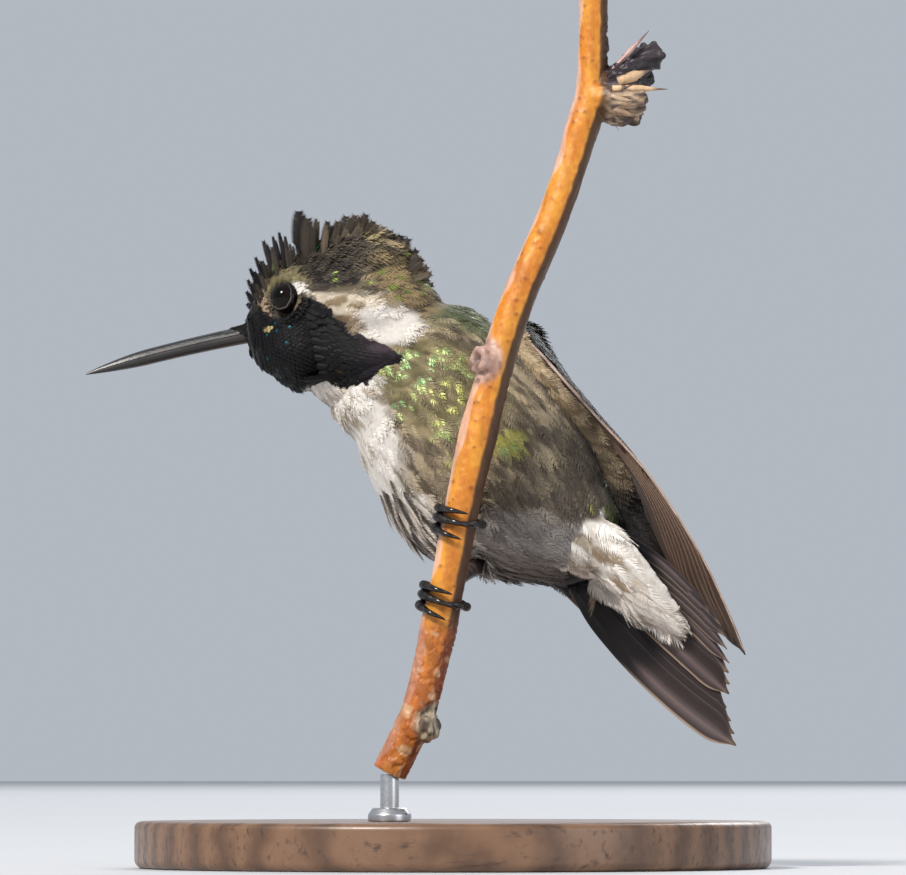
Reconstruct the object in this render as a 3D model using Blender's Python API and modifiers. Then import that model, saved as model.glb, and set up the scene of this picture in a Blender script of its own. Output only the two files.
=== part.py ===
"""A life-size male Costa's hummingbird gripping a cut twig on a small display stand.

Units are metres, +Z is up, and the origin is the centre of the stand's underside.
The bird clings behind a steep twig with its belly towards it, its head turned to its
own right, so that the head looks along -X and the tail hangs down towards +X.
Lengths below are in millimetres and pass through MM or mm() on their way to Blender.
"""

import math

import bmesh
import bpy
from mathutils import Matrix, Vector
from mathutils.geometry import interpolate_bezier

MM = 0.001
GAP = 0.15  # clearance between neighbouring solids, in millimetres
NAME = "hummingbird"

# ---- stand -------------------------------------------------------------------------
BASE_RADIUS = 34.0
BASE_THICK = 5.0
BASE_ROUND = 0.9
ROD_RADIUS = 1.0
COLLAR_RADIUS, COLLAR_HEIGHT = 2.3, 1.3

# ---- twig: its centreline from the cut foot to the cut top -----------------------------
TWIG_DEPTH = -8.6  # Y of the twig where the feet hold it
TWIG_ROUTE = [
    (-6.7, -7.6, 10.2),
    (-4.4, -8.2, 15.0),
    (-3.0, -8.5, 18.9),
    (-0.9, TWIG_DEPTH, 28.6),
    (1.2, TWIG_DEPTH, 39.3),
    (3.7, -8.4, 50.0),
    (6.7, -8.0, 59.8),
    (10.6, -7.3, 69.1),
    (13.2, -6.8, 76.8),
    (14.7, -6.4, 83.2),
    (15.0, -6.2, 96.0),
]
TWIG_FOOT_RADIUS, TWIG_MID_RADIUS, TWIG_TOP_RADIUS = 1.85, 1.85, 1.5

# ---- torso: stations from the nape to the vent -----------------------------------------
# (centre, half width, belly depth, back depth, roll of the belly towards the twig)
TORSO = [
    ((-9.6, 9.4, 57.4), 5.6, 6.2, 5.6, 10),
    ((-8.0, 9.7, 56.0), 7.4, 9.0, 7.4, 16),
    ((-5.7, 9.7, 54.2), 8.6, 10.0, 9.0, 22),
    ((-2.8, 9.5, 51.9), 9.9, 10.9, 10.4, 28),
    ((1.0, 8.6, 46.8), 11.2, 12.0, 11.4, 34),
    ((3.5, 7.8, 43.1), 11.4, 12.2, 11.6, 38),
    ((6.2, 6.9, 40.3), 10.9, 11.5, 11.2, 41),
    ((10.1, 5.6, 36.4), 9.0, 9.2, 9.8, 44),
    ((14.4, 4.6, 33.8), 6.4, 5.6, 6.6, 47),
]
TORSO_END = (17.6, 4.0, 30.6)

# ---- head ---------------------------------------------------------------------------
HEAD = Vector((-15.4, 9.2, 59.5))
HEAD_FORWARD = Vector((-0.98, -0.03, -0.19))
HEAD_ROLL = 7  # the cheek that faces the viewer is tipped up by this much
SKULL = (7.3, 5.7, 6.1)  # half length, half width, half height
# raised crown feathers along the ridge: (ahead of the head's middle, height of the tip, width)
CREST = [
    (5.2, 6.5, 0.9),
    (3.4, 8.3, 1.0),
    (2.0, 9.5, 0.9),
    (-0.9, 10.6, 1.8),
    (-2.8, 9.5, 0.9),
    (-4.2, 9.1, 1.4),
    (-5.8, 8.6, 1.6),
    (-7.6, 8.8, 1.8),
    (-9.5, 7.7, 1.8),
    (-11.5, 6.0, 1.8),
    (-12.8, 4.4, 1.6),
]
THROAT_AT, THROAT = Vector((2.1, 0.0, -3.4)), (5.2, 5.4, 4.9)
EYE_AT, EYE_RADIUS = Vector((2.9, 4.2, 1.5)), 1.7
BILL_START, BILL_LENGTH = 6.4, 18.7
BILL_HEIGHT, BILL_WIDTH, BILL_DROOP = 1.9, 1.8, 0.95

# ---- tail and wings --------------------------------------------------------------------
TAIL_AT = Vector((14.9, 4.6, 33.8))
TAIL_FORWARD = Vector((-0.68, 0.22, 0.70))
TAIL_ROLL = 47
TAIL_LENGTH, TAIL_SKEW, TAIL_HALF, TAIL_ARCH = 21.9, 4.6, 5.8, 2.6
TAIL_THICK, TAIL_ROOT = 0.65, 2.0
# soft lobes on the tail: (off its middle, start, end, half width, depth), behind the tail's root
UNDER_COVERTS = (2.0, -5.0, 15.0, 4.7, 3.4)
UPPER_COVERTS = (0.0, -4.0, 8.5, 4.6, 2.2)
BODY = Vector((4.0, 7.4, 44.7))
BODY_FORWARD, BODY_ROLL = Vector((-0.62, 0.2, 0.757)), 42
# the wing's leading edge from the middle of the body: (forward, out, up)
WING_ROUTE = [
    (9.4, 8.2, 4.6),
    (6.7, 9.9, 5.2),
    (-4.5, 10.7, 5.1),
    (-14.0, 11.5, 4.8),
    (-23.5, 10.2, 4.6),
    (-29.6, 8.3, 4.4),
    (-35.3, 5.9, 4.2),
]
RIGHT_TIP = [(-29.4, 7.0, 4.6), (-34.4, 3.8, 4.5)]
WING_PITCH = (62.0, 15.0)  # how steeply the blade roofs the back, at the shoulder and towards the tip
WING_THICK, WING_WIDTH = 0.65, 9.2

# ---- legs ----------------------------------------------------------------------------
TOE_RADIUS, TARSUS_RADIUS, CLAW_LENGTH = 0.46, 0.55, 1.9

TOWARDS_VIEWER = Vector((0.0, -1.0, 0.0))


def mm(values):
    """A point or length given in millimetres, in metres."""
    return Vector(values) * MM


def axes(forward, roll):
    """(forward, left, up) of a body part whose left side is turned up and away by roll degrees."""
    f = Vector(forward).normalized()
    side = (TOWARDS_VIEWER - TOWARDS_VIEWER.dot(f) * f).normalized()
    left = Matrix.Rotation(math.radians(roll), 3, f) @ side
    return f, left, f.cross(left)


HEAD_AXES = axes(HEAD_FORWARD, HEAD_ROLL)
TAIL_AXES = axes(TAIL_FORWARD, TAIL_ROLL)
BODY_AXES = axes(BODY_FORWARD, BODY_ROLL)


def place(at, frame, local):
    """A point given as (forward, left, up) from a part's centre."""
    return at + frame[0] * local[0] + frame[1] * local[1] + frame[2] * local[2]


# ---- helpers -------------------------------------------------------------------------


def clear_scene():
    for obj in list(bpy.data.objects):
        bpy.data.objects.remove(obj, do_unlink=True)


def collection(name):
    made = bpy.data.collections.new(name)
    bpy.context.scene.collection.children.link(made)
    return made


def material(name, colour, roughness, metallic=0.0):
    made = bpy.data.materials.new(name)
    made.use_nodes = True
    shader = made.node_tree.nodes["Principled BSDF"]
    shader.inputs["Base Color"].default_value = (*colour, 1.0)
    shader.inputs["Roughness"].default_value = roughness
    shader.inputs["Metallic"].default_value = metallic
    return made


def object_from(bm, name):
    """A new object from a bmesh in millimetres, facing outwards and smooth shaded."""
    bmesh.ops.scale(bm, vec=(MM, MM, MM), verts=bm.verts)
    bmesh.ops.recalc_face_normals(bm, faces=bm.faces)
    mesh = bpy.data.meshes.new(name)
    bm.to_mesh(mesh)
    bm.free()
    mesh.shade_smooth()
    mesh.set_sharp_from_angle(angle=math.radians(50))
    obj = bpy.data.objects.new(name, mesh)
    return obj


def curve_through(points, steps):
    """A smooth run of points through the given ones, steps to each span."""
    points = [Vector(p) for p in points]
    ends = [points[0] * 2 - points[1], *points, points[-1] * 2 - points[-2]]
    found = []
    for a, b, c, d in zip(ends, ends[1:], ends[2:], ends[3:]):
        found += interpolate_bezier(b, b + (c - a) / 6, c - (d - b) / 6, c, steps + 1)[:-1]
    return found + [points[-1]]


def loft(rings, caps=(None, None)):
    """A closed tube through rings of as many points, each end drawn to a cap point."""
    bm = bmesh.new()
    rows = [[bm.verts.new(p) for p in ring] for ring in rings]
    count = len(rows[0])
    for near, far in zip(rows, rows[1:]):
        for i in range(count):
            j = (i + 1) % count
            bm.faces.new((near[i], near[j], far[j], far[i]))
    for row, cap in zip((rows[0], rows[-1]), caps):
        middle = sum((v.co for v in row), Vector()) / count
        tip = bm.verts.new(Vector(cap) if cap is not None else middle)
        for i in range(count):
            bm.faces.new((row[i], row[(i + 1) % count], tip))
    return bm


def oval(centre, side, up, half_width, below, above, count, square=1.0):
    """A ring that is below deep under its centre and above high over it."""
    ring = []
    for i in range(count):
        turn = math.tau * i / count
        x, y = math.cos(turn), math.sin(turn)
        x = math.copysign(abs(x) ** square, x)
        ring.append(centre + side * half_width * x + up * (above if y > 0 else below) * y)
    return ring


def ellipsoid(centre, frame, halves, segments=20, rings=12):
    bm = bmesh.new()
    bmesh.ops.create_uvsphere(bm, u_segments=segments, v_segments=rings, radius=1.0)
    turn = Matrix(frame).transposed().to_4x4()
    size = Matrix.Diagonal((*halves, 1.0))
    bmesh.ops.transform(bm, matrix=Matrix.Translation(centre) @ turn @ size, verts=bm.verts)
    return bm


def leaf(root, along, across, length, width, thick, rings=5, sides=8, bend=0.0):
    """A flat feather: a closed blade with a round tip, bent up its own normal."""
    normal = along.cross(across).normalized()
    rows = []
    for i in range(rings + 1):
        t = i / rings
        half = 0.5 * width * (0.45 + 0.55 * math.sin(math.pi * min(1.0, 0.25 + 0.62 * t)))
        if t > 0.75:
            half *= math.sqrt(max(0.05, 1 - ((t - 0.75) / 0.25) ** 2))
        at = root + along * length * t + normal * bend * t * t
        rows.append(oval(at, across, normal, half, thick / 2, thick / 2, sides))
    return loft(rows)


def tube(points, radii, roundness=1):
    """A round tube whose radius changes from point to point: a bevelled curve with filled caps."""
    curve = bpy.data.curves.new("tube", "CURVE")
    curve.dimensions, curve.use_fill_caps = "3D", True
    curve.bevel_depth, curve.bevel_resolution = 1.0, roundness
    spline = curve.splines.new("POLY")
    spline.points.add(len(points) - 1)
    for point, at, radius in zip(spline.points, points, radii):
        point.co, point.radius = (*at, 1.0), radius
    obj = bpy.data.objects.new("tube", curve)
    bpy.context.scene.collection.objects.link(obj)
    graph = bpy.context.evaluated_depsgraph_get()
    mesh = bpy.data.meshes.new_from_object(obj.evaluated_get(graph))
    bm = bmesh.new()
    bm.from_mesh(mesh)
    bmesh.ops.remove_doubles(bm, verts=bm.verts, dist=1e-4)
    bpy.data.objects.remove(obj, do_unlink=True)
    bpy.data.curves.remove(curve)
    bpy.data.meshes.remove(mesh)
    return bm


def evaluated_copy(obj, name):
    """A plain mesh object of what the modifiers make."""
    graph = bpy.context.evaluated_depsgraph_get()
    mesh = bpy.data.meshes.new_from_object(obj.evaluated_get(graph))
    mesh.name = name
    made = bpy.data.objects.new(name, mesh)
    made.matrix_world = obj.matrix_world
    return made


def fuse(name, shapes, voxel, triangles, relax=4):
    """Shapes (bmeshes in millimetres) run together into one soft body of about that many triangles."""
    scene = bpy.context.scene.collection
    whole = bmesh.new()
    for shape in shapes:
        piece = bpy.data.meshes.new("piece")
        bmesh.ops.recalc_face_normals(shape, faces=shape.faces)
        shape.to_mesh(piece)
        shape.free()
        whole.from_mesh(piece)
        bpy.data.meshes.remove(piece)
    rough = object_from(whole, name + "_rough")
    scene.objects.link(rough)
    remesh = rough.modifiers.new("remesh", "REMESH")
    remesh.mode = "VOXEL"
    remesh.voxel_size = voxel * MM
    relaxing = rough.modifiers.new("relax", "SMOOTH")
    relaxing.factor, relaxing.iterations = 0.5, relax
    fine = evaluated_copy(rough, name + "_fine")
    scene.objects.link(fine)
    thin = fine.modifiers.new("thin", "DECIMATE")
    thin.ratio = min(1.0, triangles / (2 * len(fine.data.polygons)))
    made = evaluated_copy(fine, name)
    for spare in (rough, fine):
        bpy.data.objects.remove(spare, do_unlink=True)
    made.data.materials.clear()
    return made


def add(parts, obj, finish):
    parts.objects.link(obj)
    obj.data.materials.append(finish)
    return obj


def helper(cutters, obj):
    cutters.objects.link(obj)
    obj.hide_render = True
    obj.display_type = "WIRE"
    return obj


def grown(obj, name, by):
    """A copy of an object swollen by some millimetres, to cut its neighbours with."""
    made = bpy.data.objects.new(name, obj.data.copy())
    swell = made.modifiers.new("swell", "DISPLACE")
    swell.strength, swell.mid_level = by * MM, 0.0
    return made


def cut(obj, cutter):
    boolean = obj.modifiers.new("cut_" + cutter.name, "BOOLEAN")
    boolean.operation, boolean.object = "DIFFERENCE", cutter
    return obj


# ---- the bird's body -----------------------------------------------------------------


def torso_frames():
    """(centre, axes, half width, belly, back) down the torso, finer than its stations."""
    steps = 3
    centres = curve_through([row[0] for row in TORSO], steps)
    sizes = curve_through([row[1:4] for row in TORSO], steps)
    rolls = curve_through([(row[4], 0, 0) for row in TORSO], steps)
    found = []
    for i, centre in enumerate(centres):
        ahead = centres[max(i - 1, 0)] - centres[min(i + 1, len(centres) - 1)]
        found.append((centre, axes(ahead, rolls[i].x), *sizes[i]))
    return found


def torso_frame_at(index):
    """The torso's ring at a station, which may lie between two of them."""
    frames = torso_frames()
    return frames[min(len(frames) - 1, round(index * 3))]


def torso_shape():
    rings = [
        oval(centre, frame[1], frame[2], width, belly, back, 28)
        for centre, frame, width, belly, back in torso_frames()
    ]
    return loft(rings, caps=(None, TORSO_END))


def belly_fluff():
    """The loose belly feathers: two soft pads that hang below the vent."""
    centre, frame = Vector(TORSO[7][0]), axes(TAIL_FORWARD, TORSO[7][4])
    pads = []
    for side in (1, -1):
        at = place(centre, frame, (1.2, 3.6 * side, -2.6))
        pads.append(ellipsoid(at, frame, (5.4, 4.6, 4.2), 16, 10))
    return pads


def gorget_flap(side):
    """The long cheek feathers of the gorget, drawn back to a blunt point."""
    rows = []
    for t in (0.0, 0.25, 0.5, 0.75, 0.92, 1.0):
        local = (-1.6 - 7.2 * t, side * (4.6 + 1.5 * math.sin(1.4 * t)), -4.8 - 1.7 * t)
        tall = 2.9 * (1 - 0.62 * t) * (1 - max(0.0, t - 0.75) * 2.6)
        at = place(HEAD, HEAD_AXES, local)
        rows.append(oval(at, HEAD_AXES[1], HEAD_AXES[2], 1.1 - 0.5 * t, tall, tall, 12))
    return loft(rows)


def crest_plumes():
    """The raised crown feathers: a ragged row on the ridge and a shorter one on each side."""
    f, left, up = HEAD_AXES
    plumes = []
    for ahead, high, width in CREST:
        for side in (0, 1, -1):
            tip = Vector((ahead - 0.8 * abs(side), 3.0 * side, high * (1 - 0.13 * abs(side))))
            root = Vector((ahead * 0.72 + 0.5, 2.6 * side, tip.z - 4.6))
            start, end = (place(HEAD, HEAD_AXES, point) for point in (root, tip))
            along = (end - start).normalized()
            across = (along.cross(left) * (1 - 0.4 * abs(side)) + left * 0.3 * side).normalized()
            across = (across - across.dot(along) * along).normalized()
            plumes.append(leaf(start, along, across, (end - start).length, width, 0.75))
    return plumes


def nape_mass():
    """The ruffled hind crown between the skull and the nape."""
    at = place(HEAD, HEAD_AXES, (-5.4, 0.0, 2.5))
    return ellipsoid(at, HEAD_AXES, (7.6, 5.0, 5.2))


def cheeks():
    """The sides of the head behind the eyes, running back into the neck."""
    at = place(HEAD, HEAD_AXES, (-6.2, 0.0, -1.0))
    return ellipsoid(at, HEAD_AXES, (8.2, 6.2, 5.2))


def forehead():
    """The feathered slope that runs out onto the base of the bill."""
    rows = []
    for t in (0.0, 0.35, 0.7, 1.0):
        at = place(HEAD, HEAD_AXES, (4.0 + 4.4 * t, 0.0, -0.1 - 0.4 * t))
        half = 3.3 * (1 - t) ** 0.9 + 1.1
        rows.append(oval(at, HEAD_AXES[1], HEAD_AXES[2], half, half * 1.02, half, 16))
    return loft(rows)


def head_shapes():
    return [
        ellipsoid(HEAD, HEAD_AXES, SKULL),
        ellipsoid(place(HEAD, HEAD_AXES, THROAT_AT), HEAD_AXES, THROAT),
        nape_mass(),
        cheeks(),
        forehead(),
        gorget_flap(1),
        gorget_flap(-1),
        *crest_plumes(),
    ]


def bill_point(t):
    """The bill's centreline, t from its root to its tip, drooping towards the tip."""
    drop = -0.6 - BILL_DROOP * t * t
    return place(HEAD, HEAD_AXES, (BILL_START + BILL_LENGTH * t, 0.0, drop))


def bill_half(upper):
    """One mandible: a half-round blade that meets the other along a flat joint."""
    f, left, up = HEAD_AXES
    rows = []
    for i in range(11):
        t = i / 10
        thin = (1 - 0.22 * t) * (1 - max(0.0, (t - 0.62) / 0.38) ** 1.8 * 0.93)
        half, tall = BILL_WIDTH / 2 * thin, BILL_HEIGHT / 2 * thin
        at = bill_point(t) + up * (GAP / 2 if upper else -GAP / 2)
        ring = []
        for k in range(7):
            turn = math.pi * k / 6
            rise = tall * math.sin(turn) * (1 if upper else -1)
            ring.append(at + left * half * math.cos(turn) + up * rise)
        rows.append(ring)
    return loft(rows)


def eye(side):
    at = place(HEAD, HEAD_AXES, (EYE_AT.x, EYE_AT.y * side, EYE_AT.z))
    return at, ellipsoid(at, HEAD_AXES, (EYE_RADIUS,) * 3, 16, 10)


# ---- tail ----------------------------------------------------------------------------


def tail_edge(u):
    """How far the tail reaches at u across it: longest on the bird's right (-1), short on its left (1)."""
    scallop = 0.5 * math.sin(math.pi * ((abs(u) * 5) % 1.0))
    corner = 5.5 * max(0.0, (abs(u) - 0.75) / 0.25) ** 1.6
    return TAIL_LENGTH - TAIL_SKEW * u - corner + scallop


def bump(across, along, middle, start, end, half, deep):
    """Thickness of a soft lobe of small feathers that lies on the tail, in the tail's own plane."""
    t = (along - start) / (end - start)
    if not 0.0 < t < 1.0:
        return 0.0
    swell = math.sin(math.pi * (0.3 + 0.7 * t)) ** 0.6
    x = (across - middle) / (half * swell)
    return deep * swell * max(0.0, 1 - x * x) ** 0.6


def tail_shape():
    """The spread tail as one thin arched sheet, with the coverts lying on both sides of its root."""
    f, left, up = TAIL_AXES
    across, along = 14, 12
    rows = []
    for j in range(along + 1):
        v = j / along
        half = TAIL_HALF + 1.5 * math.sin(math.pi * v) - 1.2 * v ** 3
        top, under = [], []
        for i in range(across + 1):
            u = 2 * i / across - 1
            back = -TAIL_ROOT + (tail_edge(u) + TAIL_ROOT) * v
            droop = TAIL_ARCH * u * u * (0.4 + 0.6 * v)
            at = TAIL_AT - f * back + left * half * u - up * droop
            lower = TAIL_THICK / 2 + bump(half * u, back, *UNDER_COVERTS)
            upper = TAIL_THICK / 2 + bump(half * u, back, *UPPER_COVERTS)
            top.append(at + up * upper)
            under.append(at - up * lower)
        rows.append(top + under[::-1])
    return loft(rows)


# ---- wings ---------------------------------------------------------------------------

def wing_edge(side):
    """The leading edge of a folded wing, from the shoulder to the tip."""
    stations = WING_ROUTE if side > 0 else WING_ROUTE[:-2] + RIGHT_TIP
    return curve_through([place(BODY, BODY_AXES, (f, out * side, up)) for f, out, up in stations], 3)


def wing_width(t):
    """The folded wing's breadth, t from the shoulder to the tip, stepping in at each primary's tip."""
    rise = math.sin(math.pi / 2 * min(1.0, t / 0.25))
    fall = 1 - max(0.0, (t - 0.4) / 0.6) ** 1.5
    step = 0.4 * (1 - (t * 10) % 1.0) if 0.45 < t < 0.95 else 0.0
    return max(0.8, WING_WIDTH * (0.3 + 0.7 * rise) * fall + step)


def wing_shape(side):
    """A folded wing: a thin blade that roofs the back, padded with coverts near the shoulder."""
    edge = wing_edge(side)
    rows = []
    for i, at in enumerate(edge):
        t = i / (len(edge) - 1)
        run = (edge[max(i - 1, 0)] - edge[min(i + 1, len(edge) - 1)]).normalized()
        pitch = math.radians(WING_PITCH[1] + (WING_PITCH[0] - WING_PITCH[1]) * max(0.0, 1 - t / 0.7))
        over = BODY_AXES[2] * math.sin(pitch) - BODY_AXES[1] * side * math.cos(pitch)
        over = (over - over.dot(run) * run).normalized()
        normal = run.cross(over).normalized()
        thick = WING_THICK + 1.5 * max(0.0, 1 - t / 0.5)
        wide = wing_width(t)
        rows.append(oval(at + over * wide * 0.5, over, normal, wide / 2, thick / 2, thick / 2, 10, 0.8))
    return loft(rows)


# ---- legs and feet -------------------------------------------------------------------


def twig_points():
    return curve_through(TWIG_ROUTE, 8)


def twig_radius(t):
    """The twig's radius, t from its foot to its top, with its slight swellings."""
    if t < 0.5:
        base = TWIG_FOOT_RADIUS + (TWIG_MID_RADIUS - TWIG_FOOT_RADIUS) * t / 0.5
    else:
        base = TWIG_MID_RADIUS + (TWIG_TOP_RADIUS - TWIG_MID_RADIUS) * (t - 0.5) / 0.5
    swellings = ((0.27, 0.16, 0.02), (0.46, 0.2, 0.03), (0.84, 0.2, 0.04))
    return base + sum(high * math.exp(-(((t - at) / wide) ** 2)) for at, high, wide in swellings)


def twig_at_height(z):
    """(centre, direction, radius) of the twig at a height above the floor."""
    points = twig_points()
    i = min(range(1, len(points) - 1), key=lambda k: abs(points[k].z - z))
    run = (points[i + 1] - points[i - 1]).normalized()
    centre = points[i] + run * (z - points[i].z) / run.z
    return centre, run, twig_radius(i / (len(points) - 1))


FEET = {"left": (37.6, 7.0), "right": (29.2, -10.0)}  # height of the grip, tilt of the toes
# (where the toe starts along the twig, its drop, how far round it goes, its turning sense)
TOES = [(1.0, 0.5, 205, 1), (0.1, -0.6, 222, 1), (-0.9, -1.6, 198, 1), (-0.2, -0.3, 188, -1)]


def toe(height, tilt, start, drop, sweep, sense):
    """One toe with its claw, wound round the twig from behind."""
    centre, run, radius = twig_at_height(height)
    back = (Vector((0, 1, 0)) - run.y * run).normalized()
    side = run.cross(back)
    if side.x > 0:
        side = -side
    reach = radius + GAP + TOE_RADIUS
    points, radii = [], []
    count = 14
    for i in range(count + 1):
        t = i / count
        turn = math.radians(sweep * t) * sense
        claw = max(0.0, (t - 0.68) / 0.32)
        rise = start * (0.35 + 0.65 * min(1.0, t * 3)) + drop * t + math.tan(math.radians(tilt)) * -math.sin(turn)
        lift = 0.5 * math.sin(math.pi * claw) - 0.22 * claw
        spoke = back * math.cos(turn) + side * math.sin(turn)
        points.append(centre + run * rise + spoke * (reach + lift))
        radii.append(TOE_RADIUS * (1 + 0.12 * math.cos(math.tau * t * 4)) * (1 - 0.55 * claw))
    return tube(points, radii)


def foot_hub(height):
    centre, run, radius = twig_at_height(height)
    back = (Vector((0, 1, 0)) - run.y * run).normalized()
    return centre + back * (radius + GAP + TOE_RADIUS + 0.25), run


LEG_ROOTS = {"left": (6.0, 3.6, -7.0), "right": (6.6, -3.4, -7.6)}  # station, out, up


def leg_points(side):
    """Hip, ankle and foot of one leg; the shank is hidden in the belly feathers."""
    station, out, up = LEG_ROOTS[side]
    centre, frame = torso_frame_at(station)[:2]
    hip = place(centre, frame, (0.0, out, up))
    hub, _ = foot_hub(FEET[side][0])
    return hip, hub


def leg_shape(side, thicker=0.0):
    hip, hub = leg_points(side)
    end = hub + (hip - hub).normalized() * (0.75 + GAP - thicker)
    knee = hip.lerp(end, 0.5) + Vector((0.0, 0.3, 0.3))
    route = curve_through([hip, knee, end], 4)
    radii = [TARSUS_RADIUS + thicker + 0.5 * (1 - i / 8) ** 2 for i in range(len(route))]
    return tube(route, radii)


def foot_shapes(side):
    height, tilt = FEET[side]
    hub, run = foot_hub(height)
    frame = (run, run.orthogonal().normalized(), run.cross(run.orthogonal().normalized()))
    pad = ellipsoid(hub, frame, (1.25, 0.62, 0.62), 12, 8)
    return [pad, *(toe(height, tilt, *row) for row in TOES)]


def split_body(parts, cutters, finish):
    """The torso in two, parted by a thin slanting cut at the base of the neck."""
    whole = fuse("body_whole", [torso_shape(), *belly_fluff()], 0.4, 900)
    centre, frame = torso_frame_at(2.0)[:2]
    made = []
    for name, forward in (("trunk", -1), ("neck", 1)):
        at = centre + frame[0] * forward * (30 + GAP / 2)
        block = bmesh.new()
        bmesh.ops.create_cube(block, size=60)
        turn = Matrix(frame).transposed().to_4x4()
        bmesh.ops.transform(block, matrix=Matrix.Translation(at) @ turn, verts=block.verts)
        keep = helper(cutters, object_from(block, name + "_side"))
        piece = add(parts, bpy.data.objects.new(name, whole.data.copy()), finish)
        boolean = piece.modifiers.new("keep", "BOOLEAN")
        boolean.operation, boolean.object = "INTERSECT", keep
        made.append(piece)
    bpy.data.objects.remove(whole, do_unlink=True)
    return made


# ---- twig, knots and stand -----------------------------------------------------------


def knot(z, out, size, reach):
    """A short snag on the twig, pointing out from it."""
    centre, run, radius = twig_at_height(z)
    out = Vector(out).normalized()
    root = centre + out * radius * 0.3
    points = [root, root + out * reach * 0.5, root + out * reach]
    return tube(points, [size * 1.15, size, size * 0.82], 2)


def broken_stub():
    """The torn side shoot near the top: a thick root that splays into splinters."""
    centre, _, _ = twig_at_height(81.6)
    shapes = []
    splinters = [
        ((1.0, -0.1, 0.15), 5.4, 2.4),
        ((1.0, 0.1, -0.22), 5.4, 2.0),
        ((0.84, 0.0, 0.55), 9.4, 1.5),
        ((1.0, -0.35, 0.05), 6.4, 1.2),
        ((0.9, 0.3, 0.4), 7.6, 1.5),
    ]
    for way, reach, size in splinters:
        way = Vector(way).normalized()
        points = [centre + way * reach * t for t in (0.1, 0.45, 0.8, 1.0)]
        shapes.append(tube(points, [size * 0.8, size, size * 0.9, size * 0.55], 1))
    return shapes


def twig_shapes():
    points = twig_points()
    last = len(points) - 1
    stem = tube(points, [twig_radius(i / last) for i in range(last + 1)], 3)
    scars = [knot(53.4, (-1.0, -0.75, 0.25), 1.55, 2.3), knot(14.9, (0.9, -0.5, 0.1), 1.6, 2.6)]
    return [stem, *scars, *broken_stub()]


def cylinder(name, low, high, radius, at, segments, rounding):
    """An upright cylinder with rounded rims."""
    bm = bmesh.new()
    bmesh.ops.create_cone(
        bm, cap_ends=True, segments=segments, radius1=radius, radius2=radius, depth=high - low
    )
    made = object_from(bm, name)
    made.location = mm((at[0], at[1], (low + high) / 2))
    rims = made.modifiers.new("rounded rims", "BEVEL")
    rims.width, rims.segments, rims.limit_method = rounding * MM, 2, "ANGLE"
    return made


def stand_collar(low, at):
    """The stepped ring round the rod's foot: a profile turned about the rod."""
    inner, outer, high = ROD_RADIUS + GAP, COLLAR_RADIUS, COLLAR_HEIGHT
    shoulder = high * 0.45
    profile = [(inner, 0), (inner, high), (outer - 0.5, high), (outer, shoulder), (outer, 0)]
    mesh = bpy.data.meshes.new("stand_collar")
    bm = bmesh.new()
    corners = [bm.verts.new(mm((r, 0, z))) for r, z in profile]
    for here, following in zip(corners, corners[1:] + corners[:1]):
        bm.edges.new((here, following))
    bm.to_mesh(mesh)
    bm.free()
    made = bpy.data.objects.new("stand_collar", mesh)
    made.location = mm((at[0], at[1], low))
    turned = made.modifiers.new("turned", "SCREW")
    turned.steps = turned.render_steps = 20
    turned.use_merge_vertices, turned.merge_threshold = True, 0.000001
    return made


def stand_pieces():
    """The flat base, the rod up to the twig's foot, and the rod's collar."""
    foot = TWIG_ROUTE[0]
    low, top = BASE_THICK + GAP, foot[2] - 0.75
    return [
        cylinder("stand_base", 0.0, BASE_THICK, BASE_RADIUS, (0, 0), 40, BASE_ROUND),
        cylinder("stand_rod", low, top, ROD_RADIUS, foot, 16, 0.12),
        stand_collar(low, foot),
    ]


def main():
    clear_scene()
    parts, cutters = collection(NAME), collection("cutters")
    crown = material("head_feathers", (0.06, 0.05, 0.05), 0.6)
    back = material("body_feathers", (0.42, 0.38, 0.32), 0.8)
    flight = material("flight_feathers", (0.16, 0.11, 0.08), 0.6)
    horn = material("horn", (0.015, 0.014, 0.015), 0.35)
    eye_black = material("eye", (0.005, 0.004, 0.004), 0.05)
    bark = material("bark", (0.62, 0.28, 0.05), 0.6)
    wood = material("stand_wood", (0.16, 0.08, 0.045), 0.45)
    steel = material("stand_steel", (0.6, 0.6, 0.6), 0.3, 1.0)

    head = add(parts, fuse("head", head_shapes(), 0.24, 1350, 2), crown)
    for side, name in ((1, "left"), (-1, "right")):
        at, ball = eye(side)
        add(parts, object_from(ball, f"eye_{name}"), eye_black)
        socket = object_from(ellipsoid(at, HEAD_AXES, (EYE_RADIUS + GAP,) * 3, 16, 10), f"socket_{name}")
        cut(head, helper(cutters, socket))
    for name, upper in (("bill_upper", True), ("bill_lower", False)):
        half = add(parts, object_from(bill_half(upper), name), horn)
        cut(head, helper(cutters, grown(half, name + "_space", GAP)))

    wings = {}
    for side, name in ((1, "wing_left"), (-1, "wing_right")):
        wings[name] = add(parts, object_from(wing_shape(side), name), flight)

    tail = add(parts, object_from(tail_shape(), "tail"), flight)

    trunk, neck = split_body(parts, cutters, back)
    spaces = [grown(head, "head_space", GAP), grown(tail, "tail_space", GAP)]
    for side, name in ((1, "left"), (-1, "right")):
        spaces.append(grown(wings[f"wing_{name}"], f"wing_space_{name}", 1.5 * GAP))
        spaces.append(object_from(leg_shape(name, GAP), f"leg_space_{name}"))
        add(parts, object_from(leg_shape(name), f"leg_{name}"), horn)
        add(parts, fuse(f"foot_{name}", foot_shapes(name), 0.11, 520, 2), horn)
    for space in spaces:
        helper(cutters, space)
        cut(trunk, space)
        cut(neck, space)

    add(parts, fuse("perch_twig", twig_shapes(), 0.25, 900, 2), bark)
    for piece in stand_pieces():
        add(parts, piece, wood if piece.name == "stand_base" else steel)


main()
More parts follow.
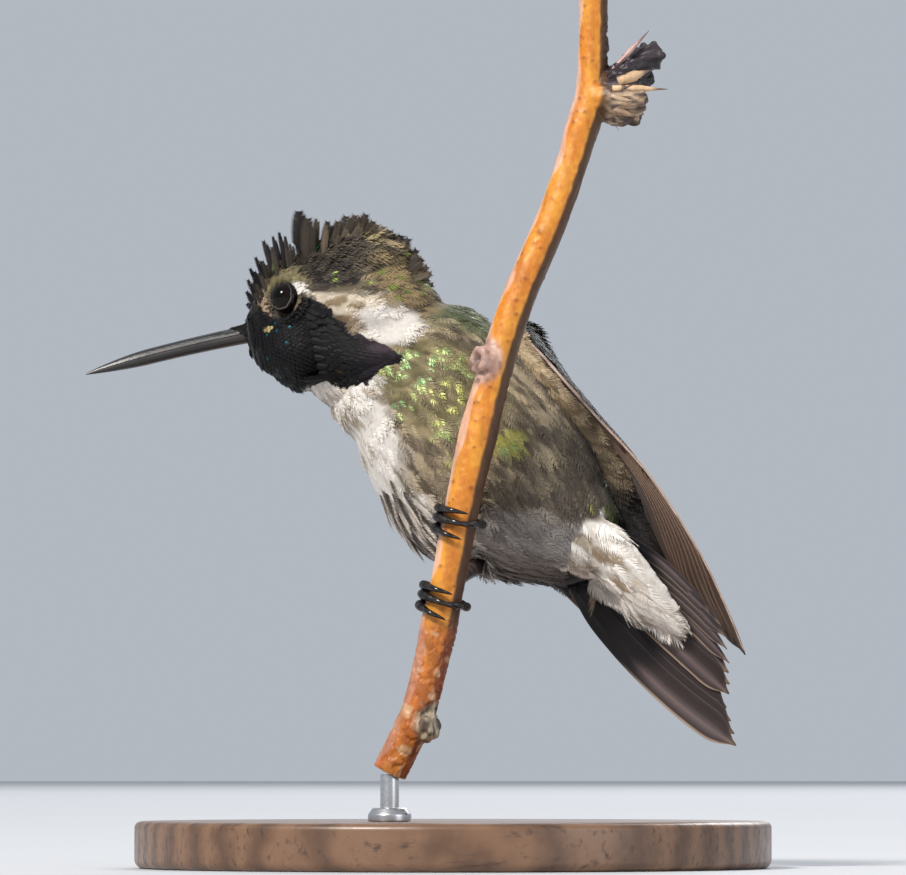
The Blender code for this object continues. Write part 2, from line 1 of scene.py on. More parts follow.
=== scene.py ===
"""Looks of the male Costa's hummingbird gripping a cut twig, on its display stand.

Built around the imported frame. Points are handled in millimetres as (N, 3) arrays and are
scaled to metres when a mesh is made. A body part's own coordinates are (ahead, left, up).
"""

import math

import bmesh
import bpy
import numpy as np
from mathutils import Matrix, Vector
from mathutils.bvhtree import BVHTree


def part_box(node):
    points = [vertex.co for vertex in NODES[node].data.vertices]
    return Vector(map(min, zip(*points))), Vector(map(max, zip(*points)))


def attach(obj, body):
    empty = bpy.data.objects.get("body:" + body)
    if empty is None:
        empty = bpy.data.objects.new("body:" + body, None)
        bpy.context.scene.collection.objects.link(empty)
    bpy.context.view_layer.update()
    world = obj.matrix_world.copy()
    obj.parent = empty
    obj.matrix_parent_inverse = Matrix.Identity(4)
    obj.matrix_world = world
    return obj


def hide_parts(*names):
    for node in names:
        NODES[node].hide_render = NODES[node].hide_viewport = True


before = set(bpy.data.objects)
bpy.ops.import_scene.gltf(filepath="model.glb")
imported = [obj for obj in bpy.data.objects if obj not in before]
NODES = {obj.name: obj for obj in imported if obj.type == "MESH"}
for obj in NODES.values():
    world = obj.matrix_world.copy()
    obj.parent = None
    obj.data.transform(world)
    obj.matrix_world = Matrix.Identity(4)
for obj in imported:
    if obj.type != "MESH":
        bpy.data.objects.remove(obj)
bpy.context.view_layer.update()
MM = 0.001

# ---- the bird's own measures, as in the solids ----
TORSO = [
    ((-9.6, 9.4, 57.4), 10),
    ((-8.0, 9.7, 56.0), 16),
    ((-5.7, 9.7, 54.2), 22),
    ((-2.8, 9.5, 51.9), 28),
    ((1.0, 8.6, 46.8), 34),
    ((3.5, 7.8, 43.1), 38),
    ((6.2, 6.9, 40.3), 41),
    ((10.1, 5.6, 36.4), 44),
    ((14.4, 4.6, 33.8), 47),
]
HEAD = np.array((-15.4, 9.2, 59.5))
EYE_AT, EYE_RADIUS = np.array((2.35, 4.2, 1.74)), 1.7
EYE_LOOKS = (0.5, 0.83, 0.22)
TAIL_AT = np.array((14.9, 4.6, 33.8))
BODY = np.array((4.0, 7.4, 44.7))
COAT_DEPTH = 0.55


# ---- small maths ----


def unit(v):
    v = np.asarray(v, float)
    return v / np.maximum(np.linalg.norm(v, axis=-1, keepdims=True), 1e-12)


def ease(low, high, x):
    """0 below low, 1 above high, smooth between; low may be the larger."""
    t = np.clip((np.asarray(x, float) - low) / (high - low), 0.0, 1.0)
    return t * t * (3 - 2 * t)


def mix(a, b, t):
    """From a to b; where either is a row of triples, t is one weight for each triple."""
    a, b, t = np.asarray(a, float), np.asarray(b, float), np.asarray(t, float)
    if t.ndim and 3 in a.shape[-1:] + b.shape[-1:]:
        t = t[..., None]
    return a * (1 - t) + b * t


def tone(r, g, b):
    """A colour given as it looks on a screen (0 to 255), as the linear values shaders use."""
    c = np.array((r, g, b)) / 255.0
    return np.where(c <= 0.04045, c / 12.92, ((c + 0.055) / 1.055) ** 2.4)


def axes(forward, roll):
    """Rows (forward, left, up) of a part whose left side is turned up and away by roll degrees."""
    f = unit(forward)
    side = np.array((0.0, -1.0, 0.0))
    side = unit(side - side.dot(f) * f)
    turn = math.radians(roll)
    left = side * math.cos(turn) + np.cross(f, side) * math.sin(turn)
    return np.array([f, left, np.cross(f, left)])


HEAD_AXES = axes((-0.98, -0.03, -0.19), 7)
TAIL_AXES = axes((-0.68, 0.22, 0.70), 47)
BODY_AXES = axes((-0.62, 0.2, 0.757), 42)


def square_to(ways, ups):
    """Unit ways, each turned square to its up."""
    return unit(ways - ups * np.einsum("nk,nk->n", ways, ups)[:, None])


def to_local(points, at, rows):
    return (np.asarray(points, float) - at) @ rows.T


def to_world(points, at, rows):
    return at + np.asarray(points, float) @ rows


def in_head(points):
    return to_local(points, HEAD, HEAD_AXES)


def in_tail(points):
    return to_local(points, TAIL_AT, TAIL_AXES)


def eye_frame(sign):
    """(centre, way it looks, its tall axis, its wide axis) of the left (1) or right (-1) eye."""
    centre = to_world(EYE_AT * (1, sign, 1), HEAD, HEAD_AXES)
    look = unit(np.array(EYE_LOOKS) * (1, sign, 1)) @ HEAD_AXES
    tall = unit(HEAD_AXES[2] - look * HEAD_AXES[2].dot(look))
    return centre, look, tall, np.cross(tall, look)

def curve_through(points, steps):
    """A smooth run of points through the given ones, steps to each span."""
    p = np.asarray(points, float)
    p = np.vstack([2 * p[0] - p[1], p, 2 * p[-1] - p[-2]])
    t = np.linspace(0, 1, steps, endpoint=False)[:, None]
    runs = []
    for a, b, c, d in zip(p, p[1:], p[2:], p[3:]):
        h, k = b + (c - a) / 6, c - (d - b) / 6
        runs.append((1 - t) ** 3 * b + 3 * (1 - t) ** 2 * t * h + 3 * (1 - t) * t * t * k + t ** 3 * c)
    return np.vstack(runs + [p[-2][None]])


def lattice(x, y, z, seed):
    """A fixed random value from 0 to 1 for each whole-numbered place: a 32-bit integer hash."""
    n = (x * 374761393 + y * 668265263 + z * 1442695041 + seed * 974634777) & 0xFFFFFFFF
    n = ((n ^ (n >> 13)) * 1274126177) & 0xFFFFFFFF
    return ((n ^ (n >> 16)) & 0xFFFF) / 65535.0


def grain(points, size, seed=0):
    """Smooth random values from 0 to 1 over space, with lumps of about that size."""
    q = np.asarray(points, float) / size + 100.0
    cell = np.floor(q).astype(np.int64)
    f = q - cell
    f = f * f * (3 - 2 * f)
    total = 0.0
    for dx in (0, 1):
        for dy in (0, 1):
            for dz in (0, 1):
                w = (f[..., 0] if dx else 1 - f[..., 0]) * (f[..., 1] if dy else 1 - f[..., 1])
                w = w * (f[..., 2] if dz else 1 - f[..., 2])
                total = total + w * lattice(cell[..., 0] + dx, cell[..., 1] + dy, cell[..., 2] + dz, seed)
    return total


# ---- meshes ----


# each attribute a mesh may carry: (its kind, the field that holds its values)
ATTRIBUTES = {
    "plumage": ("FLOAT_COLOR", "color"),
    "gleam": ("FLOAT", "value"),
    "comb": ("FLOAT_VECTOR", "vector"),
}


def make_object(name, verts, faces, material, slot=None, uv=None, **attributes):
    """A mesh object from millimetre points and a list of (n, 3) or (n, 4) face arrays; it rides the
    body if it has a slot. uv is a pair, and each attribute one value or row, for each vertex."""
    mesh = bpy.data.meshes.new(name)
    verts = np.asarray(verts, float) * MM
    mesh.vertices.add(len(verts))
    mesh.vertices.foreach_set("co", verts.astype(np.float32).ravel())
    loops = np.concatenate([np.asarray(f).ravel() for f in faces]).astype(np.int32)
    sizes = np.concatenate([np.full(len(f), np.asarray(f).shape[1]) for f in faces])
    mesh.loops.add(len(loops))
    mesh.loops.foreach_set("vertex_index", loops)
    mesh.polygons.add(len(sizes))
    starts = np.concatenate([[0], np.cumsum(sizes)[:-1]]).astype(np.int32)
    mesh.polygons.foreach_set("loop_start", starts)
    if uv is not None:
        layer = mesh.uv_layers.new(name="OFBake")
        layer.data.foreach_set("uv", np.asarray(uv, np.float32)[loops].ravel())
    mesh.update(calc_edges=True)
    for key, values in attributes.items():
        kind, field = ATTRIBUTES[key]
        values = np.asarray(values, np.float32)
        if key == "plumage":
            values = np.hstack([np.clip(values, 0, 1), np.ones((len(values), 1), np.float32)])
        mesh.attributes.new(key, kind, "POINT").data.foreach_set(field, values.ravel())
    mesh.shade_smooth()
    obj = bpy.data.objects.new(name, mesh)
    bpy.context.scene.collection.objects.link(obj)
    mesh.materials.append(material)
    if slot:
        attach(obj, "root")
    return obj


def tidy_mesh(obj, weld=0.0, bridge=False):
    """Faces turned outwards, after points nearer than weld are joined and two open rims bridged."""
    bm = bmesh.new()
    bm.from_mesh(obj.data)
    if weld:
        bmesh.ops.remove_doubles(bm, verts=bm.verts, dist=weld)
    if bridge:
        bmesh.ops.bridge_loops(bm, edges=[e for e in bm.edges if e.is_boundary])
    bmesh.ops.recalc_face_normals(bm, faces=bm.faces)
    bm.to_mesh(obj.data)
    bm.free()


def with_modifiers(obj):
    """The mesh that an object's modifiers make of it; the object goes."""
    graph = bpy.context.evaluated_depsgraph_get()
    made = bpy.data.meshes.new_from_object(obj.evaluated_get(graph))
    bpy.data.objects.remove(obj, do_unlink=True)
    return made


def remeshed(obj, voxel):
    remesh = obj.modifiers.new("remesh", "REMESH")
    remesh.mode, remesh.voxel_size = "VOXEL", voxel


def relaxed(obj, times):
    relax = obj.modifiers.new("relax", "SMOOTH")
    relax.factor, relax.iterations = 0.5, times


def mesh_arrays(mesh):
    """(points, normals, triangles) of a mesh, in its own units."""
    co = np.empty(len(mesh.vertices) * 3)
    mesh.vertices.foreach_get("co", co)
    normals = np.empty(len(mesh.vertices) * 3)
    mesh.vertex_normals.foreach_get("vector", normals)
    mesh.calc_loop_triangles()
    tris = np.empty(len(mesh.loop_triangles) * 3, np.int32)
    mesh.loop_triangles.foreach_get("vertices", tris)
    return co.reshape(-1, 3), normals.reshape(-1, 3), tris.reshape(-1, 3)


def rings_to_faces(rings, count, closed=True, base=0):
    """Quads between rings of count points."""
    i = np.arange(rings - 1)[:, None] * count
    j = np.arange(count if closed else count - 1)[None, :]
    k = (j + 1) % count
    quads = np.stack([i + j, i + k, i + count + k, i + count + j], axis=-1)
    return quads.reshape(-1, 4) + base


def fans(count, starts):
    """Triangles that close the rings of count points whose first points are given."""
    return np.array([(b, b + k, b + k + 1) for b in starts for k in range(1, count - 1)])


def circle(count):
    return np.arange(count) / count * math.tau


# ---- the torso's own coordinates ----

TORSO_CENTRES = curve_through([row[0] for row in TORSO], 6)
TORSO_ROLLS = curve_through([(row[1], 0, 0) for row in TORSO], 6)[:, 0]
TORSO_LAST = len(TORSO_CENTRES) - 1
TORSO_AXES = np.array(
    [
        axes(TORSO_CENTRES[max(i - 1, 0)] - TORSO_CENTRES[min(i + 1, TORSO_LAST)], TORSO_ROLLS[i])
        for i in range(TORSO_LAST + 1)
    ]
)


def on_torso(points):
    """(t from nape to vent, angle from the belly's middle: + left, - right, pi on the back; the torso's
    axes there; the place in them)."""
    away = points[:, None, :] - TORSO_CENTRES[None]
    along = np.einsum("nmk,mk->nm", away, TORSO_AXES[:, 0])
    nearest = np.argmin(np.abs(along) + 0.02 * np.linalg.norm(away, axis=2), axis=1)
    rows = TORSO_AXES[nearest]
    at = np.einsum("nk,njk->nj", points - TORSO_CENTRES[nearest], rows)
    return nearest / TORSO_LAST, np.arctan2(at[:, 1], -at[:, 2]), rows, at


def past_nape(points):
    """How far each place is on the head's side of the nape."""
    return np.einsum("nk,k->n", points - TORSO_CENTRES[0], TORSO_AXES[0, 0])


# ---- skin ----


def drawn_together(names, swell):
    """The named solids in millimetres, each swollen a little so that they meet, as one mesh."""
    whole = bmesh.new()
    for name in names:
        piece = bmesh.new()
        piece.from_mesh(NODES[name].data)
        bmesh.ops.remove_doubles(piece, verts=piece.verts, dist=2e-6)
        bmesh.ops.recalc_face_normals(piece, faces=piece.faces)
        piece.normal_update()
        for v in piece.verts:
            v.co = (v.co + v.normal * swell * MM) / MM
        spare = bpy.data.meshes.new("spare")
        piece.to_mesh(spare)
        piece.free()
        whole.from_mesh(spare)
        bpy.data.meshes.remove(spare)
    mesh = bpy.data.meshes.new("flesh")
    whole.to_mesh(mesh)
    whole.free()
    return mesh


def worn_in(mesh, depth, voxel, relax):
    """The mesh remeshed and drawn inwards by depth, through a volume so that thin parts drop out."""
    obj = bpy.data.objects.new("flesh", mesh)
    bpy.context.scene.collection.objects.link(obj)
    remeshed(obj, voxel)
    group = bpy.data.node_groups.new("worn_in", "GeometryNodeTree")
    for way in ("INPUT", "OUTPUT"):
        group.interface.new_socket(name="Geometry", in_out=way, socket_type="NodeSocketGeometry")
    kinds = ("NodeGroupInput", "GeometryNodeMeshToVolume", "GeometryNodeVolumeToMesh", "NodeGroupOutput")
    enter, fill, wrap, leave = (group.nodes.new(kind) for kind in kinds)
    fill.resolution_mode = wrap.resolution_mode = "VOXEL_SIZE"
    fill.inputs["Voxel Size"].default_value = voxel
    fill.inputs["Interior Band Width"].default_value = depth * 2
    wrap.inputs["Voxel Size"].default_value = voxel
    wrap.inputs["Threshold"].default_value = 0.5
    group.links.new(enter.outputs[0], fill.inputs["Mesh"])
    group.links.new(fill.outputs[0], wrap.inputs["Volume"])
    group.links.new(wrap.outputs[0], leave.inputs[0])
    obj.modifiers.new("worn_in", "NODES").node_group = group
    relaxed(obj, relax)
    return with_modifiers(obj)


def biggest_part(points, normals, tris):
    """Only the largest connected part of a mesh."""
    label = np.arange(len(points))
    while True:
        low = label[tris].min(axis=1)
        fresh = label.copy()
        for k in range(3):
            np.minimum.at(fresh, tris[:, k], low)
        fresh = fresh[fresh]
        if np.array_equal(fresh, label):
            break
        label = fresh
    names, counts = np.unique(label, return_counts=True)
    keep = label == names[counts.argmax()]
    renumber = np.cumsum(keep) - 1
    return points[keep], normals[keep], renumber[tris[keep[tris].all(axis=1)]]


# ---- markings, with some painted shade and sheen: one set of rules for skin and coat ----

WHITE, BLACK, PLUM = tone(243, 237, 229), tone(13, 12, 14), tone(40, 30, 40)


def glazed(colour, *layers):
    """The colour with each (tint, how much) laid over it in turn."""
    for tint, amount in layers:
        colour = mix(colour, tint, amount)
    return colour


def blob(x, y, at, size, slope=0.0):
    """1 inside an ellipse laid at that slope, falling to 0 round its rim."""
    dx, dy = x - at[0], y - at[1]
    c, s = math.cos(math.atan(slope)), math.sin(math.atan(slope))
    r = np.hypot((dx * c + dy * s) / size[0], (dy * c - dx * s) / size[1])
    return 1 - ease(0.75, 1.2, r)


def line_of(x, *knots):
    """Straight runs between (x, y) knots."""
    return np.interp(x, *zip(*knots))


def gorget_line(ahead):
    """The height of the upper edge of the black mask, from the flap's tip to the bill."""
    return line_of(
        ahead, (-9.5, -8.2), (-8.4, -7.4), (-7.6, -6.4), (-6.0, -4.75), (-3.8, -4.0), (-2.6, -3.5),
        (-2.3, -2.4), (-1.8, -0.9), (-0.6, -0.1), (-0.2, 0.9), (0.5, 1.3), (1.2, 0.2), (2.6, -0.5),
        (4.4, 0.1), (5.4, 0.9), (6.0, 2.4), (7.5, 3.2),
    )


def gorget_rim(ahead):
    """The height of the gorget's lower edge, which runs back from the throat to the flap's tip."""
    return line_of(
        ahead, (-8.9, -7.9), (-8.2, -8.05), (-7.5, -8.1), (-6.2, -8.2), (-5.0, -8.6), (-3.6, -9.2),
        (-2.2, -9.2), (-0.6, -8.7), (1.4, -8.6), (2.2, -12.0),
    )


def gorget_rear(side):
    """How far back the gorget reaches, by how far out to the side."""
    return line_of(
        side, (0, 2.8), (1.5, 2.3), (3.0, 0.6), (4.3, -2.0), (5.2, -4.0), (5.8, -5.3), (6.3, -6.5),
        (6.8, -7.8), (7.3, -9.2),
    )


def in_gorget(points):
    h = in_head(points)
    a, side, u = h[:, 0], np.abs(h[:, 1]), h[:, 2]
    rough = (grain(points, 0.8, 21) - 0.5) * 0.5
    below = 1 - ease(-0.15, 0.25, u - gorget_line(a) + rough)
    ahead = ease(-0.3, 0.3, a - gorget_rear(side) + rough)
    return below * ahead * ease(-0.2, 0.15, u - gorget_rim(a) + 0.6 * rough) * ease(-8.8, -8.4, a)


def undertail(points):
    """1 on the long silky coverts under the tail's root."""
    tail = in_tail(points)
    rear = line_of(
        tail[:, 1], (-5.2, -2.8), (-3.0, -1.9), (-1.9, -1.1), (-0.9, -0.8), (1.1, -0.1), (3.9, 1.0),
        (5.2, 1.7), (6.2, 0.2), (7.0, -1.5),
    )
    near_vent = ease(0.950, 0.968, on_torso(points)[0])
    return near_vent * ease(0.3, -0.5, tail[:, 0] - rear) * ease(0.6, 0.0, tail[:, 2])


# half the white breast's breadth in degrees, from nape to vent
BREAST_HALF = ((0, 78), (0.25, 64), (0.29, 56), (0.48, 33), (0.6, 20), (0.76, 26), (0.86, 62), (1, 80))
# tawny spots on the undertail: (ahead, left, size)
SILK_SPOTS = (
    (-2.0, 3.5, 1.3), (-3.5, 4.3, 1.1), (-2.4, -3.6, 1.5), (-6.4, 2.3, 1.1), (-1.9, 0.9, 0.9),
    (0.3, 3.9, 0.9),
)


def plumage(points):
    """(colour, edge colour, how far the edge shows, gleam, gleam's colour) for places on or near the skin."""
    p = np.asarray(points, float)
    h, tail = in_head(p), in_tail(p)
    a, side, u = h[:, 0], np.abs(h[:, 1]), h[:, 2]
    t, phi, _, at = on_torso(p)
    deg = np.degrees(phi)
    turn = np.abs(deg)
    lumps, fine, broad = grain(p, 1.7, 1), grain(p, 0.75, 2), grain(p, 4.5, 3)
    streaks = grain(at * np.array((0.3, 1.0, 1.0)), 0.55, 5)
    lengthwise = h * np.array((0.3, 1, 1))

    def flank(along, size):
        return blob(t, turn / 90, along, size)

    def cheek(at_, size, slope=0.0, inner=1.2, outer=2.2):
        """A spot on both of the head's sides, which fades in from inner to outer off its middle."""
        return blob(a, u, at_, size, slope) * ease(inner, outer, side)

    # flanks and back
    brown = mix(tone(184, 165, 134), tone(88, 75, 59), ease(0.3, 0.7, 0.5 * fine + 0.5 * streaks))
    olive = mix(tone(150, 138, 92), tone(88, 82, 54), streaks)
    green_back = mix(tone(96, 106, 52), tone(48, 62, 36), fine)
    saddle = 16 * ease(0.5, 0.35, t) - 14 * ease(0.4, 0.55, t) * ease(0.96, 0.9, t)
    back = ease(116, 138, turn + 14 * (lumps - 0.5) + saddle)
    rear_green = flank((0.71, 0.76), (0.055, 0.13))
    colour = glazed(
        brown,
        (olive, 0.75 * flank((0.4, 0.72), (0.24, 0.36))),
        (tone(176, 172, 82), 0.8 * rear_green),
        (tone(96, 84, 70), 0.7 * ease(0.5, 0.72, lumps) * ease(0.5, 0.62, t)),
        # painted shade: the lower flank under the wing darkened to grey-brown
        (tone(66, 57, 50), 0.75 * ease(0.78, 0.88, t) * ease(40, 62, turn)),
        (green_back, back),
    )

    # breast, belly and vent
    half = line_of(t, *BREAST_HALF)
    breast = 1 - ease(half - 9, half + 10, np.abs(deg + 15) + 18 * (lumps - 0.5) + 8 * (streaks - 0.5))
    pale = mix(WHITE, tone(196, 182, 165), ease(0.55, 0.85, streaks))
    belly = mix(tone(178, 170, 163), tone(128, 120, 115), ease(0.35, 0.75, 0.6 * fine + 0.4 * broad))
    # the rear belly greyer and darker: partly its own grey, partly painted shade
    rear_belly_and_shade = mix(tone(146, 139, 134), tone(110, 103, 99), ease(0.35, 0.75, broad))
    belly = mix(belly, rear_belly_and_shade, ease(0.83, 0.92, t))
    lobe = undertail(p)
    silk = mix(tone(248, 242, 234), tone(214, 200, 184), ease(0.5, 0.85, streaks))
    for ahead, left, size in SILK_SPOTS:
        spot = blob(tail[:, 0], tail[:, 1], (ahead, left), (size * 1.05, size * 0.62))
        silk = mix(silk, tone(142, 116, 78), 0.75 * spot)
    # painted shadow: near-black on the belly's right side just before the vent, beside the undertail coverts
    painted_vent_shadow = ease(0.975, 0.987, t) * ease(10, 0, deg) * ease(-115, -100, deg)
    rump = ease(0.98, 1.0, t) * ease(0.1, 0.6, tail[:, 2])
    colour = glazed(
        colour,
        (mix(pale, belly, ease(0.62, 0.8, t)), breast),
        (tone(28, 24, 30), painted_vent_shadow),
        (silk, lobe),
        (green_back, rump),
    )

    # head: nape, face, crown, and the pale line behind the eye
    hind = ease(-5.0, -6.2, a) * ease(0.32, 0.2, t) * ease(-0.9, 0.1, u - (0.5 + 0.42 * a))
    nape = mix(tone(150, 130, 92), tone(64, 52, 38), ease(0.35, 0.68, grain(lengthwise, 0.6, 7)))
    cap = mix(tone(118, 106, 84), tone(62, 54, 48), ease(0.35, 0.65, fine))
    crown = ease(3.4, 4.6, u) * ease(-8.5, -7.0, a)
    dark_crown = mix(tone(84, 72, 60), tone(36, 30, 30), ease(0.3, 0.6, lumps))
    band = 1 - ease(0.8, 1.25, np.abs(u - (1.1 + 0.42 * a)) / (0.8 + 0.16 * np.clip(-a, 0, 9)))
    band = band * ease(0.5, -0.2, a) * ease(-10.5, -8.5, a) * ease(1.5, 2.6, side)
    buff = mix(tone(218, 204, 182), tone(150, 130, 100), ease(0.5, 0.78, grain(lengthwise, 0.5, 8)))
    dusk = np.maximum(blob(a, u, (-2.8, 3.9), (4.1, 1.6), 0.5), 0.85 * blob(a, u, (-5.4, 5.6), (1.7, 1.5)))
    dusk = dusk * ease(1.6, 2.8, side)
    front = ease(5.0, 5.7, a + 0.25 * np.clip(u - 1, 0, 9)) * ease(-1.0, 0.0, u)
    mottled = ease(0.3, 0.6, fine + 0.15)
    black = in_gorget(p)
    colour = glazed(
        colour,
        (nape, hind),
        (cap, ease(-8.0, -6.2, a) * ease(-5.5, -4.2, u)),
        (dark_crown, crown),
        (buff, band),
        (WHITE, cheek((-7.9, -3.5), (3.9, 2.3), 0.25, 1.5, 3.0)),
        (tone(128, 102, 74), 0.8 * cheek((-3.9, -2.6), (1.8, 1.05), 0.3, 2.0, 3.5) * mottled),
        (tone(126, 116, 82), 0.85 * cheek((2.0, 4.0), (3.2, 1.5), -0.2, 1.2, 2.4)),
        (tone(25, 19, 21), 0.97 * dusk),
        (tone(158, 146, 98), 0.75 * cheek((-8.0, 6.7), (1.7, 0.7), 0.2)),
        (tone(24, 18, 20), 0.9 * blob(a, u, (-11.0, 6.2), (1.8, 0.8), 0.45)),
        (tone(176, 156, 124), 0.8 * cheek((-9.3, 5.3), (2.4, 0.32), 0.34)),
        (tone(28, 21, 21), 0.9 * cheek((-9.6, 4.5), (2.4, 0.5), 0.34)),
        (BLACK, front),
        (tone(176, 152, 128), 0.9 * cheek((4.95, 2.3), (0.5, 2.0), -0.25, 0.9, 1.6)),
        # the gorget's black turns plum towards its rear, partly its own violet and partly painted sheen, with
        # a paler plum-grey painted sheen patch on the flap
        (mix(BLACK, PLUM, 0.75 * ease(1.5, -5.0, a)), black),
        (tone(84, 66, 76), 0.6 * black * cheek((-6.6, -5.6), (2.2, 0.6), 0.25, 4.0, 5.5)),
        (tone(246, 240, 234), cheek((1.0, 2.4), (1.15, 0.66), 0.6, 2.0, 3.2)),
        (tone(190, 172, 120), cheek((5.15, -1.15), (0.42, 0.3), 0.0, 0.8, 1.5)),
    )

    # feather rims
    whitish = np.clip(breast + band + lobe, 0, 1)
    edge = mix(tone(186, 172, 146), tone(120, 108, 88), fine)
    show = 0.30 * (1 - whitish) * (1 - black) + 0.3 * crown * (1 - black) * (1 - dusk) + 0.12 * back

    # gleaming green feathers, denser in patches, and one bright spot on the crown
    green = np.maximum(back, rump)
    patch = flank((0.38, 0.66), (0.2, 0.36)) * (1 - breast) * (1 - black)
    for dense, where in (
        (0.55, flank((0.58, 0.5), (0.14, 0.26)) * (1 - breast)),
        (0.75, rear_green),
        (0.25, cheek((2.4, 4.2), (2.6, 1.4), 0.0, 1.0)),
        (0.15, cheek((-6.5, 4.6), (1.8, 1.1), 0.0, 1.0)),
        (0.25, cheek((-8.4, 0.6), (1.2, 0.9), 0.0, 1.0)),
        (0.85, blob(tail[:, 0], tail[:, 1], (0.5, 5.8), (2.2, 0.8), -0.2) * ease(0.95, 0.97, t)),
        (0.5, green * (1 - black) * (1 - 0.85 * ease(3.0, 4.2, u) * ease(-11.5, -9.5, a))),
    ):
        patch = np.maximum(patch, dense * where)
    spot = cheek((-1.9, 6.4), (0.45, 0.55), 0.0, 0.8, 1.6)
    gleam = np.where((grain(p, 0.32, 9) > 1 - 0.48 * patch) | (spot > 0.5), 1.0, 0.0)
    shine = glazed(
        mix(tone(176, 178, 98), tone(142, 184, 122), ease(0.35, 0.75, grain(p, 2.2, 11))),
        (tone(122, 146, 62), green),
        (tone(96, 226, 120), spot),
    )
    return colour, edge, show, gleam, shine


# ---- where feathers lie ----


def lie_of_coat(points, normals):
    """The way a feather's tip points at each place: off the bill, over the head and down the body."""
    h = in_head(points)
    t, _, rows, _ = on_torso(points)
    drop = ease(-3.0, -7.0, h[:, 2]) * 0.5
    spread = np.sign(h[:, 1]) * np.clip(np.abs(h[:, 1]) / 6, 0, 1) * 0.25
    back = -HEAD_AXES[0] + HEAD_AXES[1] * spread[:, None] - HEAD_AXES[2] * drop[:, None]
    down = -rows[:, 0] - rows[:, 2] * (0.25 * ease(0.55, 0.8, t))[:, None]
    way = unit(mix(down, back, ease(-3.0, 3.0, past_nape(points))))
    way = unit(mix(way, -TAIL_AXES[0], ease(0.97, 1.0, t)))
    for sign in (1, -1):
        out = points - eye_frame(sign)[0]
        reach = np.linalg.norm(out, axis=1)
        out = unit(out)
        inward = np.minimum(0, np.einsum("nk,nk->n", way, out)) * ease(3.9, 2.6, reach)
        way = unit(way - out * inward[:, None] * 1.15)
    sway = np.stack([grain(points, 2.4, s) for s in (31, 32, 33)], axis=1) - 0.5
    return square_to(way + 0.35 * sway, normals)


def unwrap(points):
    """The skin laid flat: the body unrolled about its own axis, the head about its own."""
    t, phi, _, _ = on_torso(points)
    h = in_head(points)
    body_v = 0.02 + 0.36 * t + 0.09 * np.clip(-in_tail(points)[:, 0] / 15, 0, 1)
    head_v = 0.55 + 0.42 * np.arccos(np.clip(unit(h)[:, 0], -1, 1)) / math.pi
    on_head = past_nape(points) > 0
    turn = np.where(on_head, np.arctan2(h[:, 1], -h[:, 2]), phi)
    return np.stack([0.5 + turn / math.tau * 0.94, np.where(on_head, head_v, body_v)], axis=1)


CELLS_ROUND = [(x, y, z) for x in (-1, 0, 1) for y in (-1, 0, 1) for z in (-1, 0, 1)]


def is_clear(grid, key, spot, gap):
    """Whether no place in the grid of cells is nearer to the spot than gap."""
    x, y, z = key
    for dx, dy, dz in CELLS_ROUND:
        for q in grid.get((x + dx, y + dy, z + dz), ()):
            if (q[0] - spot[0]) ** 2 + (q[1] - spot[1]) ** 2 + (q[2] - spot[2]) ** 2 < gap * gap:
                return False
    return True


def scattered(rng, points, tris, normals, gap_at, dense):
    """Places over a surface, at least gap_at apart, with their normals; dense is tries per square mm."""
    a, b, c = (points[tris[:, k]] for k in range(3))
    area = 0.5 * np.linalg.norm(np.cross(b - a, c - a), axis=1)
    total = int(area.sum() * dense)
    pick = rng.choice(len(tris), total, p=area / area.sum())
    r1, r2 = np.sqrt(rng.random(total)), rng.random(total)
    w = np.stack([1 - r1, r1 * (1 - r2), r1 * r2], axis=1)
    spots = np.einsum("nk,nkj->nj", w, points[tris[pick]])
    ups = unit(np.einsum("nk,nkj->nj", w, normals[tris[pick]]))
    gaps = gap_at(spots)
    keys = np.floor(spots / float(gaps.max())).astype(int).tolist()
    grid, kept = {}, []
    for i, spot in enumerate(spots.tolist()):
        if gaps[i] > 0 and is_clear(grid, keys[i], spot, gaps[i]):
            grid.setdefault(tuple(keys[i]), []).append(spot)
            kept.append(i)
    return spots[kept], ups[kept]


# ---- feathers ----


def outline(x):
    """Half the breadth of a body feather along its length, 1 at its widest."""
    return np.maximum(0.0, np.sin(math.pi * np.clip(0.16 + 0.84 * x, 0, 1) ** 1.15)) ** 0.7


# a feather's shaft: (place along it, half its breadth)
SHAFT = ((-0.03, 0.02), (0.3, 0.016), (0.65, 0.011), (0.96, 0.005))
FIRST_BARB, BARBED_LENGTH = 0.07, 0.86


